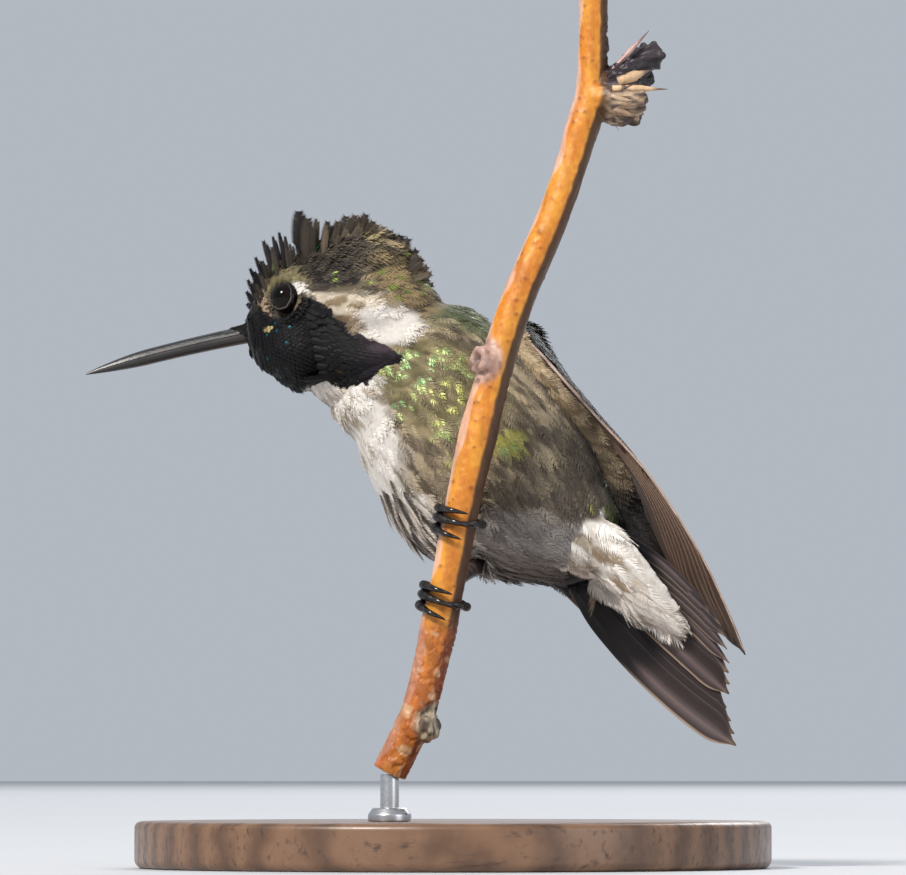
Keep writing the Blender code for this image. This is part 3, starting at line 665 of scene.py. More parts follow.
def barbed(rng, pairs, open_=0.15, sweep=0.3, ragged=0.1, camber=0.22, blunt=1.0):
    """A loose feather one long and one wide: a shaft with barbs combed forward on both sides.
    Gives points, triangles, quads and (place along, nearness to the rim) for each point."""
    points, tris, quads, marks = [], [], [], []

    def strip(rows, marks_of):
        n = len(points)
        for row, following in zip(rows, rows[1:]):
            if len(following) == 2:
                quads.append((n, n + 1, n + 3, n + 2))
            else:
                tris.append((n, n + 1, n + 2))
            n += 2
        for row in rows:
            points.extend(row)
        marks.extend(marks_of)

    def sag(y):
        return -camber * (2 * abs(y)) ** 1.6 * 0.5

    step = BARBED_LENGTH / pairs
    half = step * 0.5 * (1 - open_)
    for j in range(pairs):
        for sign in (1, -1):
            x0 = FIRST_BARB + step * (j + 0.5) + rng.uniform(-0.15, 0.15) * step
            length = min(sweep * (1 - 0.45 * x0), 0.85 * (1.03 - x0))
            x1 = x0 + length * rng.uniform(1 - 1.4 * ragged, 1 + 1.2 * ragged)
            reach = 0.5 * float(outline(min(x1, 0.975))) ** blunt * (1 + rng.uniform(-ragged, ragged))
            xm = x0 * 0.5 + x1 * 0.5 - 0.02
            ym, y1 = sign * reach * 0.62, sign * reach
            lift = rng.uniform(-0.015, 0.015)
            zm = sag(ym) + lift
            rows = [
                [(x0 - half, 0.0, 0.0), (x0 + half, 0.0, 0.0)],
                [(xm - half, ym, zm), (xm + half * 0.9, ym, zm)],
                [(x1, y1, sag(y1) + lift * 2)],
            ]
            near = max(0.0, x0 - 0.55) / 0.45 * 0.6
            strip(rows, [(x0, near), (x0, near), (xm, 0.6), (xm, 0.6), (x1, 1.0)])
    strip([[(x, -w, 0.012), (x, w, 0.012)] for x, w in SHAFT], [(x, -1.0) for x, _ in SHAFT for _ in (0, 1)])
    return np.array(points), np.array(tris).reshape(-1, 3), np.array(quads).reshape(-1, 4), np.array(marks)


def dyed(n, colour, edge, show, gleam=0.0, shine=BLACK):
    """What Coat.lay takes as paint, with each value spread over n feathers."""
    rows = [np.broadcast_to(v, (n, 3)) for v in (colour, edge, shine)]
    return rows[0], rows[1], np.broadcast_to(show, n), np.broadcast_to(gleam, n), rows[2]


class Coat:
    """Feathers gathered into named pieces."""

    def __init__(self, rng):
        self.rng, self.pieces = rng, {}

    def kinds(self, count, pairs, **shape):
        """Several feathers of one shape."""
        return [barbed(self.rng, pairs, **shape) for _ in range(count)]

    def lay(self, piece, templates, roots, ways, ups, length, width, lift, bend, paint, twist=0.12, sink=0.0):
        """Lays one feather at each root. paint is (colour, edge, show, gleam, shine) for each."""
        n = len(roots)
        if not n:
            return
        rng = self.rng
        length, width, lift, bend = (
            np.broadcast_to(np.asarray(v, float), (n,)) for v in (length, width, lift, bend)
        )
        across = unit(np.cross(ups, ways))
        roll = rng.normal(0, twist, n)[:, None]
        across, over = unit(across + ups * roll), unit(ups - across * roll)
        uv = unwrap(roots)
        which = rng.integers(0, len(templates), n)
        shade = rng.normal(1.0, 0.09, n)
        colour, edge, show, gleam, shine = paint
        for k, (pts, tris, quads, marks) in enumerate(templates):
            i = np.nonzero(which == k)[0]
            if not len(i):
                continue
            x = pts[None, :, 0] * length[i, None]
            y = pts[None, :, 1] * width[i, None]
            z = pts[None, :, 2] * width[i, None]
            z = z + x * np.tan(lift[i, None]) - bend[i, None] * x * x - sink
            place = roots[i, None] + ways[i, None] * x[..., None]
            place = place + across[i, None] * y[..., None] + over[i, None] * z[..., None]
            along, rim = np.clip(marks[:, 0], 0, 1), marks[:, 1]
            on_shaft = rim < -0.5
            c = np.repeat(colour[i][:, None], len(pts), axis=1)
            c = mix(c, edge[i][:, None], show[i, None] * ease(0.35, 1.0, rim)[None])
            pale = ease(0.12, 0.5, colour[i].mean(axis=1))[:, None]
            root = 0.62 + 0.32 * pale
            varied = 1 + (shade[i, None] - 1) * (1 - 0.5 * pale)
            c = c * (varied * (root + (1 - root) * ease(0.0, 0.55, along)[None]))[..., None]
            c = c * np.where(on_shaft, 0.72, 1.0)[None, :, None]
            bright = gleam[i, None] * ease(0.35, 0.6, along)[None] * ~on_shaft[None]
            c = mix(c, shine[i][:, None], bright * 0.85)
            patch = uv[i][:, None] + 0.003 * np.stack([pts[:, 1], pts[:, 0] - 0.5], axis=1)[None]
            starts = np.arange(len(i))[:, None, None] * len(pts)
            self.pieces.setdefault(piece, []).append(
                (
                    place.reshape(-1, 3), c.reshape(-1, 3), bright.reshape(-1), patch.reshape(-1, 2),
                    (tris[None] + starts).reshape(-1, 3), (quads[None] + starts).reshape(-1, 4),
                )
            )

    def lay_on_head(self, piece, templates, roots, ways, ups, *rest, **more):
        """The same from places and ways in the head's own coordinates."""
        ways, ups = ways @ HEAD_AXES, ups @ HEAD_AXES
        self.lay(piece, templates, to_world(roots, HEAD, HEAD_AXES), ways, ups, *rest, **more)

    def build(self, material_of, slot_of):
        for name, runs in self.pieces.items():
            places, colours, gleams, patches, tris, quads = zip(*runs)
            bases = np.cumsum([0] + [len(p) for p in places[:-1]])
            faces = [np.concatenate([f + b for f, b in zip(sets, bases)]) for sets in (tris, quads)]
            make_object(
                name, np.concatenate(places), faces, material_of(name), slot_of(name),
                uv=np.concatenate(patches), plumage=np.concatenate(colours), gleam=np.concatenate(gleams),
            )
            print("coat", name, sum(len(f) * (f.shape[1] - 2) for f in faces))


# ---- materials ----


class Finish:
    """A Principled material and the few nodes that pattern it."""

    def __init__(self, name, **values):
        self.material = bpy.data.materials.new(name)
        self.material.use_nodes = True
        self.tree = self.material.node_tree
        self.shader = self.tree.nodes["Principled BSDF"]
        for key, value in values.items():
            self.set(key.replace("_", " "), value)

    def put(self, socket, value):
        """Links or sets one input; a colour of three values gets its fourth."""
        if isinstance(value, bpy.types.NodeSocket):
            self.tree.links.new(value, socket)
        elif socket.type == "RGBA":
            socket.default_value = (*value, 1.0)
        else:
            socket.default_value = value

    def set(self, key, value):
        self.put(self.shader.inputs[key], value)

    def node(self, kind, output=0, props=(), **inputs):
        made = self.tree.nodes.new("ShaderNode" + kind)
        for key, value in props:
            setattr(made, key, value)
        for key, value in inputs.items():
            self.put(made.inputs[key.replace("_", " ")], value)
        return made.outputs[output]

    def attribute(self, name, output="Color"):
        return self.node("Attribute", output, [("attribute_name", name)])

    def place(self, scale=(1, 1, 1)):
        return self.node("Mapping", Vector=self.node("TexCoord", "Object"), Scale=scale)

    def noise(self, scale, detail=4.0, vector=None):
        vector = vector or self.place()
        return self.node("TexNoise", "Fac", Scale=scale, Detail=detail, Roughness=0.6, Vector=vector)

    def remap(self, value, low, high, to_low, to_high):
        return self.node("MapRange", Value=value, From_Min=low, From_Max=high, To_Min=to_low, To_Max=to_high)

    def blend(self, a, b, factor, mode="MIX"):
        made = self.tree.nodes.new("ShaderNodeMix")
        made.data_type, made.blend_type = "RGBA", mode
        for index, value in ((0, factor), (6, a), (7, b)):
            self.put(made.inputs[index], value)
        return made.outputs[2]

    def stained(self, base, stain, pattern, low, high, most=1.0, mode="MIX"):
        """The base with the stain over it, from none where the pattern is low to most where it is high."""
        if mode == "MULTIPLY":
            stain = self.blend(base, stain, 1.0, mode)
        return self.blend(base, stain, self.remap(pattern, low, high, 0.0, most))

    def bump(self, height, distance, strength):
        self.set("Normal", self.node("Bump", Height=height, Distance=distance, Strength=strength))


def feather_finish(name, rough=0.62, gleam_rough=0.36, sheen=0.2, metal=0.3, gloss=0.32):
    """Small feathers: painted by the markings, mottled finely, with the gleaming ones metallic."""
    made = Finish(name, Sheen_Weight=sheen, Sheen_Roughness=0.45, Specular_IOR_Level=gloss)
    paint, gleam = made.attribute("plumage"), made.attribute("gleam", "Fac")
    mottle = made.noise(2600.0, 3.0)
    made.set("Base Color", made.stained(paint, (0.62, 0.6, 0.58), mottle, 0.35, 0.75, 0.5, "MULTIPLY"))
    made.set("Metallic", made.remap(gleam, 0.0, 1.0, 0.0, metal))
    made.set("Roughness", made.remap(gleam, 0.0, 1.0, rough, gleam_rough))
    made.bump(made.noise(5200.0, 2.0), 0.00006, 0.5)
    return made.material


# ---- skin and body coat ----


def grow_skin():
    """One skin in place of the flesh solids; gives its points, normals and triangles, and a tree of it."""
    worn = worn_in(drawn_together(("head", "neck", "trunk", "tail"), 0.12), COAT_DEPTH, 0.32, 6)
    points, normals, tris = biggest_part(*mesh_arrays(worn))
    bpy.data.meshes.remove(worn)
    t, phi, _, _ = on_torso(points)
    deg, tail = np.degrees(phi), in_tail(points)
    # the belly is raised and drawn in before the vent, and the chin filled above a throat drawn back
    hung = ease(0.72, 0.92, t) * ease(-165, -120, deg) * ease(25, -15, deg) * ease(-2.5, 0.5, tail[:, 0])
    points = points + np.array((0.0, 0.0, 2.0)) * (hung * (1 - 0.9 * ease(0.93, 0.985, t)))[:, None]
    slim = ease(0.94, 0.97, t) * ease(12, -4, deg) * ease(-120, -100, deg) * ease(-7.0, -4.0, tail[:, 0])
    points = points - normals * (1.1 * slim)[:, None]
    h = in_head(points)
    tuck = line_of(
        h[:, 2], (-8.4, 0), (-7.0, -0.85), (-5.5, -0.95), (-4.2, -0.1), (-3.0, 0.3), (-2.0, 0.45),
        (-1.0, 0.3), (0, 0),
    )
    tuck = tuck * ease(2.0, 5.0, h[:, 0]) * ease(5.5, 2.5, np.abs(h[:, 1]))
    points = points + HEAD_AXES[0] * tuck[:, None]
    # the tail's flesh ends under its coverts
    past = np.minimum(0.0, tail[:, 0] + 12.0)
    points = points - TAIL_AXES[0] * (past * 0.94)[:, None]
    down = feather_finish("skin_down", rough=0.85, sheen=0.2, metal=0.0)
    # the skin takes the plumage's colours at 0.7 of their brightness: painted shade on the downy base under
    # the coat
    obj = make_object(
        "skin", points, [tris], down, "body_feathers", uv=unwrap(points),
        plumage=plumage(points)[0] * 0.7, gleam=np.zeros(len(points)),
    )
    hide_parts("head", "neck", "trunk")
    points, normals, tris = mesh_arrays(obj.data)
    points = points / MM
    return points, normals, tris, BVHTree.FromPolygons(points.tolist(), tris.tolist())


def near_eye(points):
    return np.minimum(*(np.linalg.norm(points - eye_frame(sign)[0], axis=1) for sign in (1, -1)))


def coat_gap(points):
    """How far apart feathers stand, and 0 where none grow."""
    h = in_head(points)
    face = ease(-3.0, 3.0, h[:, 0]) * ease(-10.0, -8.0, h[:, 2])
    gap = mix(np.full(len(points), 0.40), 0.27, face)
    gap = mix(gap, 0.46, ease(0.7, 0.9, on_torso(points)[0]))
    gap = np.where(near_eye(points) < 1.62, 0.0, gap)
    return np.where((in_gorget(points) > 0.6) & (h[:, 0] > -3.5), 0.0, gap)


def coat_length(points):
    h = in_head(points)
    t, phi, _, _ = on_torso(points)
    deg = np.degrees(phi)
    head = np.clip(0.95 + 0.115 * (5.0 - h[:, 0]), 0.85, 2.3) * (1 + 0.25 * ease(2.5, 5.0, h[:, 2]))
    vent = ease(0.93, 0.965, t) * ease(16, 4, deg) * ease(-140, -120, deg)
    body = (2.3 + 0.8 * ease(0.65, 0.9, t) + 0.9 * ease(0.985, 1.0, t)) * (1 - 0.62 * vent)
    length = body + (head - body) * ease(-3.0, 2.0, past_nape(points))
    return np.minimum(length, np.maximum(0.6, near_eye(points) * 0.75 - 0.6))


def piece_of(points):
    """The coat piece that each place belongs to."""
    t, phi, _, _ = on_torso(points)
    names = np.where(np.abs(phi) > 2.1, "coat_back", np.where(phi > 0, "coat_flank_left", "coat_flank_right"))
    names = np.where(t > 0.76, "coat_belly", names)
    names = np.where(t > 0.985, "coat_tail_root", names)
    return np.where(past_nape(points) > 0.5, "coat_head", names)


def lay_body_coat(coat, points, normals, tris):
    rng = coat.rng
    loose = coat.kinds(7, 9, open_=0.2, ragged=0.14)
    small = coat.kinds(5, 6, open_=0.12, ragged=0.1)
    roots, ups = scattered(rng, points, tris, normals, coat_gap, 26)
    n = len(roots)
    ways = lie_of_coat(roots, ups)
    length = coat_length(roots) * rng.normal(1.0, 0.08, n)
    paint = plumage(roots + ways * (0.6 * length)[:, None])
    names = piece_of(roots)
    h, tail = in_head(roots), in_tail(roots)
    t = on_torso(roots)[0]
    fluff = ease(0.72, 0.9, t) * ease(0.965, 0.94, t)
    raised = ease(2.6, 4.6, h[:, 2]) * ease(-11.0, -8.0, h[:, 0]) * ease(6.0, 3.5, h[:, 0])
    clump = 9.0 * (grain(roots, 1.9, 41) - 0.5)
    calm = ease(0.2, 0.45, paint[0].mean(axis=1)) * (1 - fluff)
    lift = 7.0 - 2.5 * calm + clump * (1 - 0.6 * calm) + 6 * fluff + 20 * raised
    lift = np.radians(lift + rng.normal(0, 2.2, n) * (1 - 0.5 * calm))
    bend = 0.055 + 0.02 * rng.random(n) + 0.03 * ease(-2, 3, h[:, 0])
    breadth = length * (0.56 - 0.12 * fluff) * rng.normal(1.0, 0.07, n)
    # the silky undertail coverts lie over the rest, which is short and flat beside them
    under = undertail(roots + ways * 0.55) > 0.45
    beside = (undertail(roots + ways * 3.0) > 0.45) & ~under
    length = np.where(beside, 0.7 * length, length)
    lift = np.where(beside, 0.5 * lift, lift)
    behind = np.where((tail[:, 1] < -1.0) & (tail[:, 2] < 0.8), -0.9, -5.0)
    gone = np.where(under, tail[:, 0] < -11.1, (names == "coat_tail_root") & (tail[:, 0] < behind))
    wide = line_of(tail[:, 0], (-12, 3.3), (-5, 4.6), (-2, 5.6), (2, 9.0))
    narrow = line_of(tail[:, 0], (-12, 0.1), (-10, -0.6), (-6, -1.7), (-3, -3.6), (2, -9.0))
    gone |= under & ((tail[:, 1] > wide) | (tail[:, 1] < narrow))
    silk = coat.kinds(5, 12, open_=0.02, sweep=0.34, ragged=0.06, camber=0.25)

    def lay(name, kinds, i, *sizes):
        coat.lay(name, kinds, roots[i], ways[i], ups[i], *sizes, [v[i] for v in paint], sink=0.05)

    i = np.nonzero(under & ~gone)[0]
    long_, breadth_ = 3.6 * rng.normal(1, 0.06, len(i)), 2.0 * rng.normal(1, 0.06, len(i))
    lay("coat_tail_root", silk, i, long_, breadth_, np.radians(3.0 + rng.normal(0, 1, len(i))), 0.03)
    for name in np.unique(names):
        i = np.nonzero((names == name) & ~under & ~gone)[0]
        lay(name, small if name == "coat_head" else loose, i, length[i], breadth[i], lift[i], bend[i])
    print("body feathers", n)


def hits(tree, origins, ways):
    """Where rays meet a surface: (which rays do, the places, the normals)."""
    rays = [tree.ray_cast(Vector(o), Vector(w)) for o, w in zip(origins, ways)]
    met = [(i, ray[0], ray[1]) for i, ray in enumerate(rays) if ray[0] is not None]
    found, places, ups = zip(*met)
    return np.array(found, int), np.array(places), np.array(ups)


def lay_gorget(coat, tree):
    """The black gorget: compact rounded scales in curved rows round the throat."""
    rng = coat.rng
    scales = coat.kinds(5, 8, open_=-0.1, sweep=0.22, ragged=0.05, camber=0.35)
    origins, aims = [], []
    for row in range(40):
        for j in range(-34, 35):
            degrees = (j + 0.5 * (row % 2)) * 5.2
            if abs(degrees) > 168:
                continue
            turn = math.radians(degrees)
            spoke = np.array((0.0, math.sin(turn), -math.cos(turn)))
            centre = np.array((7.9 - 0.34 * row, 0.0, -2.2))
            origins.append(to_world(centre + spoke * 14, HEAD, HEAD_AXES))
            aims.append(-(spoke @ HEAD_AXES))
    _, roots, ups = hits(tree, origins, aims)
    keep = (in_gorget(roots) > 0.4) & (near_eye(roots) > 1.6)
    roots, ups = roots[keep], ups[keep]
    ways = lie_of_coat(roots, ups)
    n = len(roots)
    a, side, u = in_head(roots).T
    side = np.abs(side)
    length = np.clip(0.85 + 0.05 * (5 - a), 0.8, 1.35) * rng.normal(1, 0.05, n)
    length = np.minimum(length, np.maximum(0.6, near_eye(roots) - 1.35))
    # painted highlights: a few feathers of every fourth row on the throat's sides are coloured teal as if
    # catching the light
    band = np.abs(((a - 0.25 * side) % 1.36) - 0.68) < 0.2
    place = blob(a, u, (4.4, -3.6), (1.7, 3.4)) * ease(0.6, 1.6, side)
    painted_glint = np.where(band & (rng.random(n) < 0.16 * place), 1.0, 0.0)
    painted_glint = np.maximum(painted_glint, np.where(rng.random(n) < 0.012, 0.7, 0.0))
    # the painted glints' colours: teal at the front, plum-grey towards the rear
    shine = mix(tone(30, 92, 100), tone(84, 74, 86), ease(2.6, 1.0, a))
    edge = mix(tone(26, 22, 30), tone(52, 40, 52), ease(0, -5, a))
    paint = dyed(n, plumage(roots)[0], edge, 0.5, painted_glint, shine)
    lift = np.radians(9.0 + rng.normal(0, 1.2, n))
    coat.lay("coat_gorget", scales, roots, ways, ups, length, length * 0.86, lift, 0.08, paint, twist=0.06)
    print("gorget feathers", n)


def lay_flaps(coat, tree):
    """The long cheek feathers drawn back from the gorget on both sides, and its hanging rear edge."""
    rng = coat.rng
    long_ = coat.kinds(5, 14, open_=-0.1, sweep=0.16, ragged=0.04, camber=0.3)
    for sign in (1, -1):
        spots = []
        for row in range(18):
            a = 0.6 - 0.5 * row
            top, low = float(gorget_line(a)) - 0.35, float(gorget_rim(a)) + 0.15
            for q in np.arange(0.04 + 0.05 * (row % 2), 1.0, 0.1):
                spots.append((a + rng.normal(0, 0.05), top + (low - top) * q, q))
        spots = np.array(spots)
        aim = np.tile(np.array((0.0, -sign, 0.0)) @ HEAD_AXES, (len(spots), 1))
        start = np.stack([spots[:, 0], np.full(len(spots), 16.0 * sign), spots[:, 1]], axis=1)
        found, places, _ = hits(tree, to_world(start, HEAD, HEAD_AXES), aim)
        a, u, q = spots[found].T
        n = len(a)
        swell = np.sin(math.pi * q)
        least = line_of(a, (-8.6, 6.9), (-6, 6.4), (-4, 6.0), (-2, 5.4), (0.5, 4.6))
        least = least * (1 - 0.42 * ease(0.5, 1.0, q) * ease(-6.5, -2.0, a))
        out = np.maximum(np.abs(in_head(places)[:, 1]), least) + 0.25
        out = out + 0.45 * ease(0.6, 1.0, q) * ease(-5.5, -3.5, a) + 0.35 * swell * ease(0.0, -4.0, a)
        at = np.stack([a, sign * out, u], axis=1)
        tip = [-8.6 + 1.2 * np.abs(q - 0.5), sign * (7.0 + 0.3 * swell), -7.8 - 0.5 * (q - 0.5)]
        way = np.stack(tip, axis=1) - at
        way[:, 2] -= 1.6 * (1 - ease(-1.0, -5.0, a)) * q
        ways = unit(way)
        ups = np.stack([np.full(n, 0.1), np.full(n, float(sign)), 0.9 * (0.45 - q)], axis=1)
        reach = np.clip(np.linalg.norm(way, axis=1), 1.0, 1.5 + 1.1 * ease(-1.0, -5.0, a))
        length = reach * rng.normal(1, 0.04, n)
        # towards the flap's rear the black turns plum, partly the gorget's violet and partly painted sheen,
        # with a paler plum-grey painted sheen patch
        sheen = ease(-3.2, -5.5, a)
        colour = glazed(
            mix(tone(15, 13, 16), tone(36, 28, 36), sheen),
            (tone(96, 80, 88), 0.6 * sheen * blob(a, u, (-6.6, -5.9), (1.9, 0.55), 0.2)),
            (tone(70, 44, 52), 0.5 * sheen * ease(0.16, 0.02, q)),
        )
        paint = dyed(n, colour, mix(tone(28, 23, 30), tone(60, 48, 58), sheen), 0.4)
        coat.lay_on_head(
            "coat_gorget", long_, at, ways, square_to(ups, ways), length, 0.85 + 0.12 * length,
            np.radians(3.5), 0.03, paint, twist=0.06,
        )
    rear = []
    for row in range(9):
        for side in np.arange(-4.4, 4.5, 0.4):
            v, bow = row / 8, side * side
            high = -6.7 - 0.85 * v - 0.05 * bow * (1 - v)
            rear.append((4.3 - 1.6 * v - 0.2 * bow, side + rng.normal(0, 0.05), high))
    rear = np.array(rear)
    a, side = rear[:, 0], rear[:, 1]
    n = len(rear)
    ways = unit(np.stack([np.full(n, -0.96), 0.04 * side, np.full(n, -0.2)], axis=1))
    ups = unit(np.stack([np.full(n, 0.2), 0.18 * side, np.full(n, -0.97)], axis=1))
    rim = mix(tone(34, 28, 32), tone(120, 104, 72), ease(3.2, 2.7, a + 0.2 * side ** 2))
    paint = dyed(n, tone(15, 13, 16), rim, 0.4)
    coat.lay_on_head(
        "coat_gorget", long_, rear, ways, square_to(ups, ways), 1.3 * rng.normal(1, 0.05, n), 1.0,
        math.radians(4), 0.05, paint, twist=0.06,
    )


# (ahead, tip height, width, darkness) of the raised crown feathers
CREST = [
    (6.6, 2.9, 0.9, 1.0), (6.4, 4.3, 0.8, 1.0), (6.0, 5.6, 0.8, 1.0), (5.5, 6.8, 0.8, 1.0),
    (4.7, 7.9, 0.7, 1.0), (3.5, 9.5, 0.8, 0.95), (2.4, 9.8, 0.6, 1.0), (1.6, 10.1, 0.7, 1.0),
    (-1.0, 12.0, 2.0, 0.95),
    (-2.7, 10.8, 0.8, 0.6), (-3.9, 10.3, 1.2, 0.9), (-5.0, 10.1, 1.3, 0.7), (-6.0, 10.5, 1.5, 0.85),
    (-7.0, 10.4, 1.5, 0.7), (-8.2, 10.3, 1.6, 0.8), (-9.2, 9.0, 1.6, 0.5), (-10.4, 8.1, 1.6, 0.95),
    (-11.5, 7.3, 1.6, 1.0), (-12.0, 5.7, 1.6, 1.0), (-12.6, 4.5, 1.5, 0.95), (-13.0, 2.6, 1.4, 0.7),
]
# the rows beside the ridge: (off the middle, back, spread, part of the height, drop, random drop,
# part of the width, part of the darkness)
CREST_ROWS = (
    (1.1, 0.35, 0.15, 0.97, 0.25, 0.3, 0.9, 1.0),
    (2.2, 0.7, 0.2, 0.91, 0.2, 0.4, 0.9, 0.9),
    (3.2, 0.8, 0.2, 0.83, 0.3, 0.4, 0.85, 0.8),
)


def lay_crest(coat):
    """The ragged crown: single raised plumes on the ridge with shorter ones beside and between them."""
    rng = coat.rng
    plumes = coat.kinds(6, 24, open_=-0.12, sweep=0.14, ragged=0.015, camber=0.18, blunt=0.36)
    rows = []

    def add(ahead, out, high, width, dark, depth=4.4):
        rows.append((ahead * 0.72 + 0.5, out * 0.8, max(high - depth, 1.2), ahead, out, high, width, dark))

    for ahead, high, width, dark in CREST:
        add(ahead, 0.0, high - 0.05, width, dark)
        for off, back, spread, part, drop, more, slim, fade in CREST_ROWS:
            for out in (off, -off):
                at = ahead - back + rng.normal(0, spread)
                add(at, out, high * part - drop - more * rng.random(), width * slim, dark * fade)
    raised = len(rows)
    for _ in range(230):
        ahead, out = rng.uniform(-12.0, 4.8), rng.uniform(-3.6, 3.6)
        top = line_of(
            ahead, (-12.6, 5.2), (-9.5, 8.2), (-5.8, 9.4), (-2.0, 9.2), (2.0, 8.0), (3.4, 7.6), (5.2, 6.4)
        )
        high = top * (1 - 0.05 * abs(out)) - rng.uniform(0.4, 2.2) - 0.06 * out * out
        add(ahead, out, high, rng.uniform(0.8, 1.3), rng.uniform(0.45, 1.0), 3.2)
    rows = np.array(rows)
    roots, tips, widths, darks = rows[:, :3], rows[:, 3:6], rows[:, 6], np.clip(rows[:, 7], 0, 1)
    n = len(rows)
    way = tips - roots
    reach = np.linalg.norm(way, axis=1)
    way = unit(way)
    ups = unit(np.stack([np.full(n, -0.25), np.where(roots[:, 1] >= 0, 0.9, -0.9), np.full(n, 0.25)], axis=1))
    deep = tone(12, 11, 17)
    tawny = 0.6 * ease(0.55, 0.75, grain(roots, 1.3, 51)) * (1 - darks) * ease(1, -3, roots[:, 0])
    colour = mix(mix(tone(118, 104, 84), deep, darks), tone(140, 122, 92), tawny)
    edge = mix(tone(150, 132, 104), tone(32, 28, 36), darks)
    # the low feathers take the plumage's colour
    low = np.arange(n) >= raised
    under = plumage(to_world(tips, HEAD, HEAD_AXES))[0]
    colour = np.where(low[:, None], mix(under * 0.62, deep, 0.45 * darks), colour)
    edge = np.where(low[:, None], under * 0.85, edge)
    gleam = np.where((rng.random(n) < 0.03) & low, 0.6, 0.0)
    paint = dyed(n, colour, edge, 0.7, gleam, tone(150, 190, 100))
    coat.lay_on_head(
        "coat_crest", plumes, roots, way, square_to(ups, way), reach, widths, math.radians(2), 0.01, paint,
        twist=0.25,
    )


def lay_breast_locks(coat, tree):
    """The parted, pointed locks that hang from the breast on the far side of the twig."""
    rng = coat.rng
    long_ = coat.kinds(4, 18, open_=0.3, sweep=0.2, ragged=0.12, camber=0.5)
    origins, aims = [], []
    for _ in range(70):
        i = int(rng.uniform(0.53, 0.70) * TORSO_LAST)
        turn = math.radians(rng.uniform(-34, 4))
        spoke = TORSO_AXES[i][1] * math.sin(turn) - TORSO_AXES[i][2] * math.cos(turn)
        origins.append(TORSO_CENTRES[i] + spoke * 25), aims.append(-spoke)
    _, roots, ups = hits(tree, origins, aims)
    n = len(roots)
    # about half the locks are dark brown-black: painted shade standing in for the gaps between the pale locks
    colour = np.where(rng.random((n, 1)) < 0.55, tone(218, 204, 190), tone(46, 38, 36))
    paint = dyed(n, colour, tone(190, 176, 160), 0.3)
    coat.lay(
        "coat_belly", long_, roots, lie_of_coat(roots, ups), ups, rng.uniform(3.0, 4.4, n),
        rng.uniform(0.7, 1.1, n), np.radians(rng.uniform(10, 17, n)), 0.03, paint,
    )


def lay_throat(coat):
    """White feathers that fill the hollow between the gorget's rear edge and the breast."""
    rng = coat.rng
    loose = coat.kinds(4, 10, open_=0.1, ragged=0.1)
    roots = []
    for row in range(9):
        for side in np.arange(-3.3, 3.4, 0.36):
            q, bow = row / 8, side * side
            a = 1.75 - 2.3 * q - 0.17 * bow
            roots.append(np.array((a, side, -7.5 - 2.4 * q + 0.02 * bow)) + rng.normal(0, (0.08, 0.08, 0.06)))
    roots = np.array(roots)
    n = len(roots)
    side = roots[:, 1]
    ways = unit(np.stack([np.full(n, -0.52), 0.05 * side, np.full(n, -0.85)], axis=1))
    ups = unit(np.stack([np.full(n, 0.85), 0.22 * side, np.full(n, -0.52)], axis=1))
    paint = dyed(n, mix(tone(246, 240, 233), tone(222, 210, 196), rng.random(n)), WHITE, 0.3)
    coat.lay_on_head(
        "coat_head", loose, roots, ways, square_to(ups, ways), 2.5 * rng.normal(1, 0.08, n), 1.2,
        math.radians(4), 0.05, paint,
    )


def lay_shoulder(coat, tree, sign):
    """Scapulars and flank feathers bridging from the body to the folded wing."""
    rng, wing = coat.rng, Wing(sign)
    loose = coat.kinds(6, 12, open_=0.12, sweep=0.3, ragged=0.12)
    roots, ups, ways, stations = [], [], [], []
    for t in np.arange(0.015, 0.72, 0.0085):
        wide = float(wing.pick(wing.wide, t))
        w = 0.35 + (0.92 * wide - 0.35) * float(ease(0.26, 0.5, t))
        end = wing.place(np.array([t]), np.array([w]), -0.3)[0]
        near, _, _, span = tree.find_nearest(Vector(end))
        near = np.array(near)
        count = max(2, int(span / 0.42))
        run = wing.pick(wing.run, t)
        across = unit(end - near)
        up = unit(np.cross(run, across))
        up = up * (1.0 if up @ BODY_AXES[1] * sign > 0 else -1.0)
        for k in range(count + 1):
            s = (k + rng.uniform(-0.2, 0.2)) / count * (0.8 if t < 0.3 else 1.0)
            bow = (0.85 if t < 0.45 else 0.5) * math.sin(math.pi * min(1.0, max(0.0, s)))
            roots.append(near + (end - near) * s + up * bow), ups.append(up), stations.append(t)
            ways.append(unit(run + across * (0.22 + 0.08 * rng.normal()) * max(0.0, 1 - s)))
    roots, ups, t = np.array(roots), np.array(ups), np.array(stations)
    n = len(roots)
    # the brown is paler than the flank's, painted light against the shade these feathers sit in; from t 0.40
    # on they are painted near-black as shadow between the body and the wing
    brown = mix(tone(200, 178, 144), tone(116, 98, 76), ease(0.3, 0.7, grain(roots, 0.9, 111)))
    low = ease(0.40, 0.46, t)
    paint = dyed(n, mix(brown, tone(34, 29, 28), low), tone(180, 162, 132), 0.35 * (1 - low))
    rear = ease(0.45, 0.6, t)
    coat.lay(
        f"coat_wing_{'left' if sign > 0 else 'right'}", loose, roots, square_to(np.array(ways), ups), ups,
        rng.uniform(2.3, 3.1, n) + 0.8 * rear, rng.uniform(1.1, 1.4, n) + 0.3 * rear,
        np.radians(3 + rng.normal(0, 2, n)), 0.02, paint, twist=0.15,
    )


# ---- eyes, lids and bill ----

# rings of the lid: (radius as a part of the opening's, height off the eye, size of its beads)
LID_RINGS = (
    (0.97, -0.10, 0.0), (1.0, 0.015, 0.0), (1.03, 0.045, 1.0), (1.06, 0.015, 1.0), (1.10, -0.12, 0.5),
    (1.16, -0.45, 0.0),
)


